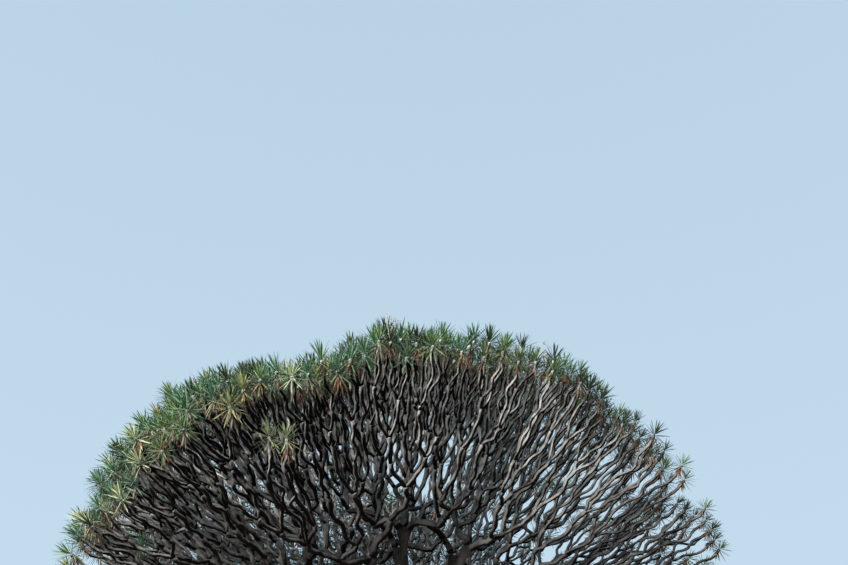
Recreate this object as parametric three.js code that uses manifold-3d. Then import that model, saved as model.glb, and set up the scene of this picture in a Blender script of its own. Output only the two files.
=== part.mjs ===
// An old dragon tree: a stout fluted trunk, a head of main boughs, and an umbrella crown of branches
// that fork again and again, each ending in a rosette of sword-shaped leaves.
// Millimetres, +Z up, with the origin on the ground under the trunk. The side seen first is -Y.
import * as THREE from "three";
import { ConvexGeometry } from "three/addons/geometries/ConvexGeometry.js";
import { mergeVertices } from "three/addons/utils/BufferGeometryUtils.js";
import Module from "manifold-3d";

const wasm = await Module();
wasm.setup();

// Driving dimensions of the crown
const HUB = new THREE.Vector3(0, 0, 5200); // all limbs fan out from this point in the trunk's head
const CROWN = {
  left: 10700, // half widths on the four sides, out from the middle
  right: 10750,
  near: 10800,
  far: 9700,
  middle: 140, // how far to the right of the trunk the middle lies
  shoulder: 7150, // height of the widest level
  rise: 7750, // from there to the top
  undercut: 3000, // how far the rounded form would go on below that level
  fullness: 2.3, // 2 gives an ellipse, more gives squarer shoulders
  rightFullness: 1.45, // less gives a side that slopes off, as the right one does
};
const RIM = { lowest: rad(11), lift: rad(31), facing: rad(-64), nearness: 1.6 }; // it lifts to the near right
const ARCH = { depth: 420, span: 9800 }; // the limbs sag below a straight fan by this much halfway out
const LUMP = 320; // how much one mass stands out from the next
const LEAF_REACH = 330; // from a twig's end to the crown's outer face

// Counts asked of the fan; those below the rim are left out
const MASS_SEEDS = 47;
const ROSETTE_SEEDS = 285;
const STEMS_PER_BOUGH = 3;

// Trunk: [height, radius, depth of the buttress toes as a share of the radius]
const TRUNK_RINGS = [
  [0, 3050, 0.16],
  [260, 2800, 0.15],
  [800, 2430, 0.12],
  [1700, 2160, 0.08],
  [2900, 2020, 0.06],
  [4000, 1980, 0.05],
  [4800, 1780, 0.04],
  [5450, 1100, 0.03],
];
const TRUNK = { sides: 32, dome: 250 }; // the dome is the rise of its top above the last ring
const TOES = { count: 9, sway: 1.3, minorCount: 5, minor: 0.4, share: 0.7 };
const COLLAR = { base: 640, tip: 450, sides: 8, steps: 3, footHeight: 3000, footReach: 1210 };

// Limbs
const HEAD_RADIUS = 2350; // from the hub to where the boughs leave the trunk
const KNOB_RADIUS = 4150; // from the hub to the middle of each bough's forked end
const BOUGH = { base: 430, tip: 300, sides: 8, steps: 3 };
const KNOB = { reach: 450, facet: 205, sides: 6, back: 330, aim: 8000, spread: 0.7 };
const STEM = { radius: 180, sides: 5, steps: 2 };
const TWIG = { radius: 62, sides: 3, steps: 1, swell: 0.42 };
const FORK = {
  tilt: rad(35), // of each limb off the one that it leaves
  back: 0.9, // where the fork starts and ends, in radii of the limbs there
  ahead: 2.2,
  slim: 0.95, // a limb's radius at its root, as a share of its radius at its end
  jitter: 0.06, // of the forks' distances from the hub
  lift: 0.15, // how far limbs and twigs turn up
  twigLift: 0.45,
};
const BEND = { leave: 0.42, arrive: 0.36 }; // handles of a limb's curve, as shares of its length
const JOINT_GAP = 0.3;
const CELL_MARGIN = 15;
const TIP_PULL = 0.14; // share by which a tip is drawn in towards the middle of its mass

// Rosettes of leaves, each standing for a few of the real ones
const ROSETTE = {
  blades: 6,
  length: 740,
  waist: 310, // reach of the notches between the blades
  waistLift: 75,
  crown: 400, // rise of the middle
  root: 120, // from the twig's end
  low: rad(8),
  high: rad(38),
};
const ROSETTE_SIZES = [1.1, 1, 0.88, 0.76, 0.64, 0.52, 0.4];
const ROSETTE_SHARE = 0.6; // of the way to the nearest twig's end, which a rosette may fill

const GOLDEN_ANGLE = Math.PI * (3 - Math.sqrt(5));
const UP = new THREE.Vector3(0, 0, 1);
const COURSE_STEP = 200; // half the stretch over which a limb's course is measured
const REACH_ROUNDS = 40; // halvings that find the crown's reach
const FLAT = 0.01; // how near to a plane or a point counts as on it

// Colours and finishes
const BARK = new THREE.MeshStandardMaterial({ color: 0x7d7872, roughness: 0.92, metalness: 0 });
const BOUGH_BARK = new THREE.MeshStandardMaterial({ color: 0x86827c, roughness: 0.9, metalness: 0 });
const FOLIAGE = new THREE.MeshStandardMaterial({ color: 0x4f6b4a, roughness: 0.7, metalness: 0 });

function rad(degrees) {
  return (degrees * Math.PI) / 180;
}

// A repeatable number from 0 to 1 for a pair of numbers.
function chance(a, b) {
  const wave = Math.sin(a * 127.1 + b * 311.7 + 17.3) * 43758.5453;
  return wave - Math.floor(wave);
}

// Lowest angle above the horizon at which limbs leave the hub, for a direction round it.
function rimElevation(around) {
  const nearness = Math.max(0, Math.cos(around - RIM.facing));
  return RIM.lowest + RIM.lift * Math.pow(nearness, RIM.nearness);
}

// Directions spread evenly over the crown, as seen from the hub.
function fanDirections(count) {
  const lowest = Math.sin(RIM.lowest);
  const found = [];
  for (let i = 0; i < count; i++) {
    const height = 1 - ((1 - lowest) * (i + 0.5)) / count;
    const around = i * GOLDEN_ANGLE;
    const flat = Math.sqrt(1 - height * height);
    if (Math.asin(height) < rimElevation(around)) continue;
    found.push(new THREE.Vector3(flat * Math.cos(around), flat * Math.sin(around), height));
  }
  return found;
}

// Below 0 inside the crown's rounded form, and above 0 outside it.
function crownExcess(point) {
  const aside = point.x - CROWN.middle;
  const wide = aside / (aside < 0 ? CROWN.left : CROWN.right);
  const deep = point.y / (point.y < 0 ? CROWN.near : CROWN.far);
  const flat = Math.max(FLAT, Math.hypot(wide, deep));
  const nearness = Math.max(0, -deep / flat);
  const rightness = (0.5 + (0.5 * wide) / flat) * (1 - nearness * nearness);
  const fullness = CROWN.fullness + (CROWN.rightFullness - CROWN.fullness) * rightness;
  const above = point.z - CROWN.shoulder;
  const tall = Math.abs(above) / (above > 0 ? CROWN.rise : CROWN.undercut);
  return Math.pow(flat, fullness) + tall * tall - 1;
}

// How far the crown reaches from the hub along a direction.
function crownReach(direction) {
  let inner = 0;
  let outer = 2 * CROWN.right;
  for (let i = 0; i < REACH_ROUNDS; i++) {
    const middle = (inner + outer) / 2;
    const point = HUB.clone().addScaledVector(direction, middle);
    if (crownExcess(point) < 0) inner = middle;
    else outer = middle;
  }
  return inner;
}

// How far the limbs hang below a straight fan, at a distance out from the trunk's axis.
function archAt(point) {
  const share = Math.min(1, Math.hypot(point.x, point.y) / ARCH.span);
  return ARCH.depth * 4 * share * (1 - share);
}

// The point of the crown at a direction and distance from the hub.
function place(direction, distance) {
  const point = HUB.clone().addScaledVector(direction, distance);
  point.z -= archAt(point);
  return point;
}

// The way a limb runs there.
function course(direction, distance) {
  return place(direction, distance + COURSE_STEP).sub(place(direction, distance - COURSE_STEP)).normalize();
}

function meanDirection(group) {
  const sum = new THREE.Vector3();
  group.forEach((direction) => sum.add(direction));
  return sum.normalize();
}

// Splits a group of directions in two, across its longest way.
function halve(group) {
  const middle = meanDirection(group);
  let axis = new THREE.Vector3();
  for (const direction of group) {
    const offset = direction.clone().sub(middle);
    if (offset.lengthSq() > axis.lengthSq()) axis = offset;
  }
  const sorted = [...group].sort((a, b) => a.dot(axis) - b.dot(axis));
  const cut = Math.ceil(group.length / 2);
  return [sorted.slice(0, cut), sorted.slice(cut)];
}

// Groups of a few masses that one bough carries.
function boughGroups(centres) {
  if (centres.length <= STEMS_PER_BOUGH) return [centres];
  return halve(centres).flatMap(boughGroups);
}

// A closed solid for cutting and joining, from a three.js geometry.
function solid(geometry) {
  const bare = geometry.clone();
  bare.deleteAttribute("normal");
  bare.deleteAttribute("uv");
  const merged = mergeVertices(bare, 1e-3);
  const vertProperties = new Float32Array(merged.attributes.position.array);
  const triVerts = new Uint32Array(merged.index.array);
  return new wasm.Manifold(new wasm.Mesh({ numProp: 3, vertProperties, triVerts }));
}

// The largest body of a joined solid, with its sealed hollows filled and loose scraps dropped.
function mainBody(made) {
  return made.decompose().reduce((best, body) => (body.volume() > best.volume() ? body : best));
}

// A named mesh of a joined solid.
function meshOf(name, made, material) {
  const { vertProperties, triVerts } = mainBody(made).getMesh();
  const geometry = new THREE.BufferGeometry();
  geometry.setAttribute("position", new THREE.BufferAttribute(new Float32Array(vertProperties), 3));
  geometry.setIndex(new THREE.BufferAttribute(new Uint32Array(triVerts), 1));
  geometry.computeVertexNormals();
  const mesh = new THREE.Mesh(geometry, material);
  mesh.name = name;
  return mesh;
}

function geometryPoints(geometry) {
  const position = geometry.attributes.position;
  return Array.from({ length: position.count }, (_, i) => new THREE.Vector3().fromBufferAttribute(position, i));
}

// A flat ring round a limb: its middle, the way the limb runs there, a side to start from, and its corners.
function ringAt(centre, normal, side, radius, sides) {
  const first = side.clone().addScaledVector(normal, -side.dot(normal)).normalize();
  const second = normal.clone().cross(first);
  const corners = [];
  for (let k = 0; k < sides; k++) {
    const angle = (2 * Math.PI * k) / sides;
    const out = first.clone().multiplyScalar(Math.cos(angle)).addScaledVector(second, Math.sin(angle));
    corners.push(centre.clone().addScaledVector(out, radius));
  }
  return { centre, normal, side: first, second, radius, sides, corners };
}

// The rings of a limb that leaves one ring and arrives at a point along a finish.
function ringsTo(start, to, finish, radius, steps) {
  const span = start.centre.distanceTo(to);
  const curve = new THREE.CubicBezierCurve3(
    start.centre,
    start.centre.clone().addScaledVector(start.normal, BEND.leave * span),
    to.clone().addScaledVector(finish, -BEND.arrive * span),
    to,
  );
  const rings = [start];
  for (let i = 1; i <= steps; i++) {
    const share = i / steps;
    const along = i < steps ? curve.getTangent(share) : finish;
    const size = start.radius + (radius - start.radius) * share;
    rings.push(ringAt(curve.getPoint(share), along, rings[i - 1].side, size, start.sides));
  }
  return rings;
}

// The corners of the faces that close a ring, seen from the side that the limb runs to.
function capCorners({ corners }) {
  return corners.slice(2).flatMap((corner, k) => [corners[0], corners[k + 1], corner]);
}

// The corners of the faces between a ring and a point over its middle.
function domeCorners({ corners }, top) {
  return corners.flatMap((corner, k) => [corner, corners[(k + 1) % corners.length], top]);
}

// The corners of the faces round a row of rings that have the same number of sides.
function sleeveCorners(rings) {
  return rings.slice(1).flatMap((ring, r) => {
    const { corners } = rings[r];
    return corners.flatMap((corner, k) => {
      const next = (k + 1) % corners.length;
      return [corner, corners[next], ring.corners[next], corner, ring.corners[next], ring.corners[k]];
    });
  });
}

// The corners of a fork's swelling: the hull over the ring that ends a limb and the rings that others
// leave by, without the faces over that end.
function knobCorners(end, forks) {
  const hull = new ConvexGeometry([end, ...forks].flatMap((ring) => ring.corners));
  const corners = geometryPoints(hull);
  const kept = [];
  for (let f = 0; f < corners.length; f += 3) {
    const face = corners.slice(f, f + 3);
    const onEnd = face.every((corner) => Math.abs(corner.clone().sub(end.centre).dot(end.normal)) < FLAT);
    if (!onEnd) kept.push(...face);
  }
  return kept;
}

// The closed skin of a limb over a row of rings, whose far end is flat or forks.
function limbGeometry(rings, forks = []) {
  const end = rings.at(-1);
  const far = forks.length > 0 ? knobCorners(end, forks) : capCorners(end);
  const near = capCorners(rings[0]).reverse();
  return new THREE.BufferGeometry().setFromPoints([...near, ...sleeveCorners(rings), ...far]);
}

// A rosette that grows on from a twig's last ring as one closed star: blades that alternate low and
// high round a raised middle.
function rosetteGeometry(ring, size) {
  const { normal, side, second } = ring;
  const centre = ring.centre.clone().addScaledVector(normal, ROSETTE.root);
  const at = (angle, out, up) =>
    centre
      .clone()
      .addScaledVector(side, Math.cos(angle) * out * size)
      .addScaledVector(second, Math.sin(angle) * out * size)
      .addScaledVector(normal, up * size);
  const count = 2 * ROSETTE.blades;
  const perCorner = count / ring.sides;
  const points = [...ring.corners];
  for (let k = 0; k < count; k++) {
    const angle = (2 * Math.PI * (k - (perCorner - 1) / 2)) / count;
    const lift = k % 4 === 0 ? ROSETTE.high : ROSETTE.low;
    if (k % 2 === 0) points.push(at(angle, ROSETTE.length * Math.cos(lift), ROSETTE.length * Math.sin(lift)));
    else points.push(at(angle, ROSETTE.waist, ROSETTE.waistLift));
  }
  const top = points.push(at(0, 0, ROSETTE.crown)) - 1;
  const faces = [];
  for (let k = 0; k < count; k++) {
    const here = ring.sides + k;
    const next = ring.sides + ((k + 1) % count);
    const corner = Math.floor(k / perCorner);
    const nextCorner = Math.floor(((k + 1) % count) / perCorner);
    faces.push(corner, next, here, top, here, next);
    if (corner !== nextCorner) faces.push(corner, nextCorner, next);
  }
  for (let k = 1; k + 1 < ring.sides; k++) faces.push(0, k + 1, k);
  const geometry = new THREE.BufferGeometry().setFromPoints(points);
  geometry.setIndex(faces);
  return geometry;
}

// Whether points lie in the space of one mass: a cone from the hub that no other mass reaches into.
function inCell(points, centre, centres) {
  return points.every((point) => {
    const straight = point.clone().sub(HUB);
    straight.z += archAt(point);
    return centres.every((other) => {
      if (other === centre) return true;
      const between = centre.clone().sub(other);
      return between.dot(straight) >= CELL_MARGIN * between.length();
    });
  });
}

function radiusFor(tips) {
  return TWIG.radius * Math.pow(tips, TWIG.swell);
}

// One mass: a stem that forks by halving its rosettes until each has a twig of its own.
function massSolid(index, centre, centres, tips, start) {
  const parts = [];
  const rounds = Math.log2(tips.length) + 1;
  const lump = LUMP * (2 * chance(index, 3) - 1);

  function forkPoint(group, salt) {
    const forks = group.length > 1;
    const direction = meanDirection(group);
    const inner = KNOB_RADIUS + KNOB.reach;
    const outer = crownReach(direction) - LEAF_REACH + lump;
    const share = (rounds - Math.log2(group.length)) / rounds;
    const jitter = forks ? FORK.jitter * (2 * chance(index, salt) - 1) : 0;
    const distance = inner + (outer - inner) * (share + jitter);
    const finish = course(direction, distance);
    finish.addScaledVector(UP, forks ? FORK.lift : FORK.twigLift).normalize();
    return { point: place(direction, distance), finish };
  }

  const ends = tips.map((tip) => forkPoint([tip], 1).point);

  function limb(group, from, salt, steps) {
    const { point, finish } = forkPoint(group, salt);
    const radius = radiusFor(group.length);
    const back = group.length > 1 ? FORK.back * radius : 0;
    const to = point.clone().addScaledVector(finish, -back);
    return { group, salt, point, finish, rings: ringsTo(from, to, finish, radius, steps) };
  }

  function grow({ group, salt, point, finish, rings }) {
    const end = rings.at(-1);
    if (group.length === 1) {
      parts.push(solid(limbGeometry(rings)));
      addRosette(end);
      return;
    }
    const halves = halve(group);
    const [one, other] = halves.map((half, k) => forkPoint(half, 2 * salt + k).point);
    const apart = one.sub(other);
    apart.addScaledVector(finish, -apart.dot(finish)).normalize();
    const children = halves.map((half, k) => {
      const aside = Math.sin(FORK.tilt) * (k === 0 ? 1 : -1);
      const heading = finish.clone().multiplyScalar(Math.cos(FORK.tilt)).addScaledVector(apart, aside);
      const radius = FORK.slim * radiusFor(half.length);
      const root = point.clone().addScaledVector(heading, FORK.ahead * radius);
      return limb(half, ringAt(root, heading, end.side, radius, TWIG.sides), 2 * salt + k, TWIG.steps);
    });
    const kept = children.filter((child) => inCell(child.rings.flatMap((ring) => ring.corners), centre, centres));
    const forks = kept.map((child) => child.rings[0]);
    parts.push(solid(limbGeometry(rings, forks)));
    kept.forEach(grow);
  }

  function addRosette(ring) {
    const others = ends.map((end) => end.distanceTo(ring.centre)).filter((gap) => gap > FLAT);
    const room = (ROSETTE_SHARE * Math.min(...others)) / ROSETTE.length;
    for (const size of ROSETTE_SIZES.filter((each) => each <= room)) {
      const star = rosetteGeometry(ring, size);
      if (!inCell(geometryPoints(star), centre, centres)) continue;
      parts.push(solid(star));
      return;
    }
  }

  grow(limb(tips, start, 1, STEM.steps));
  return parts.reduce((whole, piece) => whole.add(piece));
}

// The trunk's ring at a height, with buttress toes.
function trunkRing([height, radius, toe]) {
  const corners = [];
  for (let k = 0; k < TRUNK.sides; k++) {
    const around = (2 * Math.PI * k) / TRUNK.sides;
    const major = Math.cos(TOES.count * around + TOES.sway * Math.sin(2 * around));
    const minor = TOES.minor * Math.cos(TOES.minorCount * around + 1);
    const out = radius * (1 + toe * TOES.share * (major + minor));
    corners.push(new THREE.Vector3(out * Math.cos(around), out * Math.sin(around), height));
  }
  return { corners, centre: new THREE.Vector3(0, 0, height) };
}

// The closed skin of the trunk, from its flat foot to its domed top.
function trunkGeometry() {
  const rings = TRUNK_RINGS.map(trunkRing);
  const last = rings.at(-1);
  const foot = domeCorners(rings[0], rings[0].centre).reverse();
  const top = domeCorners(last, last.centre.clone().addScaledVector(UP, TRUNK.dome));
  return new THREE.BufferGeometry().setFromPoints([...foot, ...sleeveCorners(rings), ...top]);
}

// The trunk with a collar that swells out of it for each bough.
function trunkSolid(directions) {
  let trunk = solid(trunkGeometry());
  for (const direction of directions) {
    const flat = new THREE.Vector3(direction.x, direction.y, 0);
    const foot = flat.clone().multiplyScalar(COLLAR.footReach).setZ(COLLAR.footHeight);
    const start = ringAt(foot, UP, flat, COLLAR.base, COLLAR.sides);
    const head = place(direction, HEAD_RADIUS);
    const rings = ringsTo(start, head, course(direction, HEAD_RADIUS), COLLAR.tip, COLLAR.steps);
    trunk = trunk.add(solid(limbGeometry(rings)));
  }
  return trunk;
}

// The way each stem leaves the forked end of its bough, spread wider than the masses lie.
function stemHeadings(direction, masses) {
  const knob = place(direction, KNOB_RADIUS);
  const run = course(direction, KNOB_RADIUS);
  return masses.map((centre) => {
    const heading = place(centre, KNOB.aim).sub(knob).normalize();
    const aside = heading.clone().addScaledVector(run, -heading.dot(run));
    return heading.addScaledVector(aside, KNOB.spread).normalize();
  });
}

// A main bough: one tapering limb whose swollen end has a flat facet for each stem.
function boughSolid(direction, headings) {
  const run = course(direction, HEAD_RADIUS);
  const from = place(direction, HEAD_RADIUS).addScaledVector(run, JOINT_GAP);
  const knob = place(direction, KNOB_RADIUS);
  const end = course(direction, KNOB_RADIUS);
  const start = ringAt(from, run, UP, BOUGH.base, BOUGH.sides);
  const back = knob.clone().addScaledVector(end, -KNOB.back);
  const rings = ringsTo(start, back, end, BOUGH.tip, BOUGH.steps);
  const facets = headings.map((heading) => {
    const facet = knob.clone().addScaledVector(heading, KNOB.reach);
    return ringAt(facet, heading, UP, KNOB.facet, KNOB.sides);
  });
  return solid(limbGeometry(rings, facets));
}

function number(index) {
  return String(index + 1).padStart(2, "0");
}

// The whole tree
function dragonTree() {
  const tree = new THREE.Group();
  const centres = fanDirections(MASS_SEEDS);
  const cells = new Map(centres.map((centre) => [centre, []]));
  for (const tip of fanDirections(ROSETTE_SEEDS)) {
    const nearest = centres.reduce((best, centre) => (centre.dot(tip) > best.dot(tip) ? centre : best));
    cells.get(nearest).push(tip.lerp(nearest, TIP_PULL).normalize());
  }
  const groups = boughGroups(centres);
  const directions = groups.map(meanDirection);
  tree.add(meshOf("trunk", trunkSolid(directions), BARK));
  groups.forEach((masses, b) => {
    const headings = stemHeadings(directions[b], masses);
    tree.add(meshOf(`bough_${number(b)}`, boughSolid(directions[b], headings), BOUGH_BARK));
    masses.forEach((centre, s) => {
      const foot = place(directions[b], KNOB_RADIUS).addScaledVector(headings[s], KNOB.reach + JOINT_GAP);
      const start = ringAt(foot, headings[s], UP, STEM.radius, STEM.sides);
      const index = centres.indexOf(centre);
      const made = massSolid(index, centre, centres, cells.get(centre), start);
      tree.add(meshOf(`crown_mass_${number(index)}`, made, FOLIAGE));
    });
  });
  return tree;
}

export default dragonTree();
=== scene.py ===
"""An old dragon tree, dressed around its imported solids.

The crown grows by the same rule as the solids do, carried on to finer twigs: directions fan out from a hub in
the trunk's head, and each mass halves its share of them at every fork. Metres, +Z up, seen first from -Y.
"""

import logging
import math
from dataclasses import dataclass, field
from enum import Enum, IntEnum

import bpy
import numpy as np
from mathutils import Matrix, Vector, noise


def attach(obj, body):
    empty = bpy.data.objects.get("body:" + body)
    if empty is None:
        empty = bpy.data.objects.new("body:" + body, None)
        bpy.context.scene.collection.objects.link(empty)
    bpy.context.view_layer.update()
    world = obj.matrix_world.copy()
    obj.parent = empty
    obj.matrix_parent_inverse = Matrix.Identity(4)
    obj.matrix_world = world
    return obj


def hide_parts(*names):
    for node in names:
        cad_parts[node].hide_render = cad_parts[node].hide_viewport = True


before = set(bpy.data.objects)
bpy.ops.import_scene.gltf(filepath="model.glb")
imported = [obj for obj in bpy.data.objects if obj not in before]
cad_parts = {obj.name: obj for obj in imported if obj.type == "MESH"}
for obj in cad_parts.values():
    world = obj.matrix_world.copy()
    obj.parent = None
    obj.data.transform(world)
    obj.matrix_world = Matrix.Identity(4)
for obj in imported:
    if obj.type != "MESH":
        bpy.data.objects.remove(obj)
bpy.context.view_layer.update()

Array = np.ndarray
Triple = tuple[float, float, float]
Colour = Triple
Span = tuple[float, float]

log = logging.getLogger("dragon_tree")

UP = np.array([0.0, 0.0, 1.0])
ASIDE = np.array([1.0, 0.0, 0.0])
STEEP = 0.9
GOLDEN_ANGLE = math.pi * (3 - math.sqrt(5))
CHANCE_RATES = (127.1, 311.7)
CHANCE_START = 17.3
CHANCE_SCALE = 43758.5453
MASS_NUMBERS = 10000
BODY = "root"


class Deal(IntEnum):
    """What a chance is dealt for, so that each kind has numbers of its own."""

    LUMP = 3
    OPENING = 5
    TINT = 7
    DRY_TINT = 9
    STALK = 21


def unit(vector: Array) -> Array:
    """The vector, or each row of an array of them, at length one."""
    return vector / np.linalg.norm(vector, axis=-1, keepdims=True)


def across(axis: Array) -> Array:
    """A unit vector square to each given axis."""
    helper = np.where(np.abs(axis[..., 2:3]) < STEEP, UP, ASIDE)
    return unit(np.cross(axis, helper))


def ease(low: float, high: float, value: Array) -> Array:
    """A smooth step from 0 at the low value to 1 at the high one."""
    share = np.clip((value - low) / (high - low), 0.0, 1.0)
    return share * share * (3 - 2 * share)


def chance(number: int, kind: int) -> float:
    """A repeatable number from 0 to 1.

    Args:
        number: The number of the thing that it is for.
        kind: What it is dealt for.

    Returns:
        The number.
    """
    angle = number * CHANCE_RATES[0] + kind * CHANCE_RATES[1] + CHANCE_START
    wave = math.sin(angle) * CHANCE_SCALE
    return wave - math.floor(wave)


def sway(number: int, kind: int) -> float:
    """A repeatable number from -1 to 1."""
    return 2 * chance(number, kind) - 1


@dataclass(frozen=True)
class Shading:
    """A painted shade along one axis, from none at its start to a share kept where it is full."""

    axis: int
    kept: float
    start: float
    full: float

    def at(self, line: Array) -> Array:
        """The share of its lightness that each point of a line keeps."""
        return 1 - (1 - self.kept) * ease(self.start, self.full, line[:, self.axis])


@dataclass(frozen=True)
class Crown:
    """The umbrella form that the limbs fill: a rounded shell over a hub in the trunk's head.

    Attributes:
        hub: The height from which the limbs fan out.
        left, right, near, far: How far the crown reaches each way from its middle.
        middle: Where its middle stands, from left to right.
        shoulder: The height at which it is widest.
        rise, undercut: How far it goes above and below the shoulder.
        fullness, right_fullness: How square its shoulders are, and how square at the right.
        rim_lowest: The lowest angle above the horizon at which limbs leave the hub.
        rim_lift, rim_facing, rim_nearness: How much higher that is on one side, which side, and how narrowly.
        sag_depth, sag_span: How far the limbs sag halfway out, and where that ends.
        course_step: How far before and behind a place the points are that give a limb's course there.
        reach_rounds: How often the reach is halved to find it.
        thinnest: The least that a distance is taken for, so that it can be divided by.
        inner_shade, shade_from_to: How light painted shade leaves the bark at the hub, and over which
            distances it lightens.
        shadings: Painted shade that darkens it to the right and to the rear, away from the light, and
            downwards.
    """

    hub: float = 5.2
    left: float = 10.7
    right: float = 10.75
    near: float = 10.8
    far: float = 9.7
    middle: float = 0.14
    shoulder: float = 7.15
    rise: float = 7.75
    undercut: float = 3.0
    fullness: float = 2.3
    right_fullness: float = 1.45
    rim_lowest: float = math.radians(11)
    rim_lift: float = math.radians(31)
    rim_facing: float = math.radians(-64)
    rim_nearness: float = 1.6
    sag_depth: float = 0.42
    sag_span: float = 9.8
    course_step: float = 0.2
    reach_rounds: int = 40
    thinnest: float = 1e-6
    inner_shade: float = 0.2
    shade_from_to: Span = (3.5, 9.0)
    # Painted shade: darker to the right and to the rear, away from the light, and low down.
    shadings: tuple[Shading, ...] = (
        Shading(axis=0, kept=0.36, start=2.0, full=8.0),
        Shading(axis=1, kept=0.55, start=1.0, full=7.0),
        Shading(axis=2, kept=0.38, start=11.0, full=7.5),
    )

    def rim(self, around: float) -> float:
        """The lowest angle above the horizon at which limbs leave the hub, for a direction round it."""
        nearness = max(0.0, math.cos(around - self.rim_facing))
        return self.rim_lowest + self.rim_lift * nearness**self.rim_nearness

    def fan(self, count: int) -> Array:
        """Directions spread evenly over the crown.

        Args:
            count: How many are asked for, of which those below the rim are left out.

        Returns:
            One unit vector a row.
        """
        found = []
        for i in range(count):
            height = 1 - (1 - math.sin(self.rim_lowest)) * (i + 0.5) / count
            around = i * GOLDEN_ANGLE
            flat = math.sqrt(1 - height * height)
            if math.asin(height) >= self.rim(around):
                found.append((flat * math.cos(around), flat * math.sin(around), height))
        return np.array(found)

    def excess(self, point: Array) -> float:
        """How far a point is outside the crown's rounded form.

        Args:
            point: The point.

        Returns:
            Below 0 inside the form, 0 on it and above 0 outside it.
        """
        aside = point[0] - self.middle
        wide = aside / (self.left if aside < 0 else self.right)
        deep = point[1] / (self.near if point[1] < 0 else self.far)
        flat = max(self.thinnest, math.hypot(wide, deep))
        nearness = max(0.0, -deep / flat)
        rightness = (0.5 + 0.5 * wide / flat) * (1 - nearness * nearness)
        fullness = self.fullness + (self.right_fullness - self.fullness) * rightness
        above = point[2] - self.shoulder
        tall = abs(above) / (self.rise if above > 0 else self.undercut)
        return flat**fullness + tall * tall - 1

    def reach(self, direction: Array) -> float:
        """How far the crown reaches from the hub, found by halving.

        Args:
            direction: The direction from the hub.

        Returns:
            The distance to the rounded form.
        """
        inner, outer = 0.0, 2 * self.right
        for _ in range(self.reach_rounds):
            middle = (inner + outer) / 2
            if self.excess(self.hub * UP + direction * middle) < 0:
                inner = middle
            else:
                outer = middle
        return inner

    def place(self, direction: Array, distance: float) -> Array:
        """A point of the crown. The limbs sag most halfway out.

        Args:
            direction: Its direction from the hub, before the sag.
            distance: Its distance from the hub, before the sag.

        Returns:
            The point.
        """
        point = self.hub * UP + direction * distance
        share = min(1.0, math.hypot(point[0], point[1]) / self.sag_span)
        return point - UP * (self.sag_depth * 4 * share * (1 - share))

    def course(self, direction: Array, distance: float) -> Array:
        """The way that a limb runs there."""
        ahead = self.place(direction, distance + self.course_step)
        return unit(ahead - self.place(direction, distance - self.course_step))


@dataclass(frozen=True)
class Opening:
    """A stretch of the crown that has fewer tips, smaller rosettes or another height than the rest.

    Attributes:
        facing: The way it faces, in degrees round the trunk from +X.
        height: The angle above the horizon that it lies at, in degrees, seen from the hub.
        full_within, none_beyond: How far from that angle it is full, and where it ends, in degrees.
        missing: The share of the tips that is missing in it.
        smaller: The share that its rosettes are smaller by.
        lower: How much nearer to the hub the crown ends in it, or how much farther where it is below 0.
        narrowness: How narrow it is round the trunk.
    """

    facing: float
    height: float
    full_within: float
    none_beyond: float
    missing: float = 0.0
    smaller: float = 0.0
    lower: float = 0.0
    narrowness: float = 2.0

    def depth(self, direction: Array) -> float:
        """How far a direction is in the opening.

        Args:
            direction: The direction from the hub.

        Returns:
            From 0, outside it, to 1, in its middle.
        """
        around = math.atan2(direction[1], direction[0]) - math.radians(self.facing)
        aside = max(0.0, math.cos(around)) ** self.narrowness
        above = abs(math.degrees(math.asin(direction[2])) - self.height)
        return aside * (1 - float(ease(self.full_within, self.none_beyond, above)))


@dataclass(frozen=True)
class Shoot:
    """A side shoot inside the crown.

    Attributes:
        around, elevation: The direction of its rosette from the hub, in degrees.
        distance: How far its rosette is from the hub.
        drop: How far below its rosette it leaves a limb.
        pale: Whether its rosette is a pale one.
    """

    around: float
    elevation: float
    distance: float
    drop: float
    pale: bool = False

    def place(self, hub: Array) -> Array:
        """Where its rosette sits.

        Args:
            hub: The crown's hub.

        Returns:
            The point.
        """
        around, elevation = math.radians(self.around), math.radians(self.elevation)
        flat = math.cos(elevation)
        way = np.array([flat * math.cos(around), flat * math.sin(around), math.sin(elevation)])
        return hub + self.distance * way


@dataclass
class Limb:
    """One limb between two forks.

    Attributes:
        line: Its middle line.
        radii: Its radius at each point of the line.
        tips: How many tips it feeds.
        lightness: How light its bark is beside that of other limbs.
    """

    line: Array
    radii: Array
    tips: int
    lightness: float

    def shade(self, crown: Crown) -> Array:
        """The painted shade on its bark along it: darker near the hub, low down, to the rear and to the
        right, away from the light.

        Args:
            crown: The crown that it is in.

        Returns:
            A share of full light for each point of its line.
        """
        distance = np.linalg.norm(self.line - crown.hub * UP, axis=1)
        outer = crown.inner_shade + (1 - crown.inner_shade) * ease(*crown.shade_from_to, distance)
        return self.lightness * outer * math.prod(shading.at(self.line) for shading in crown.shadings)


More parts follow.
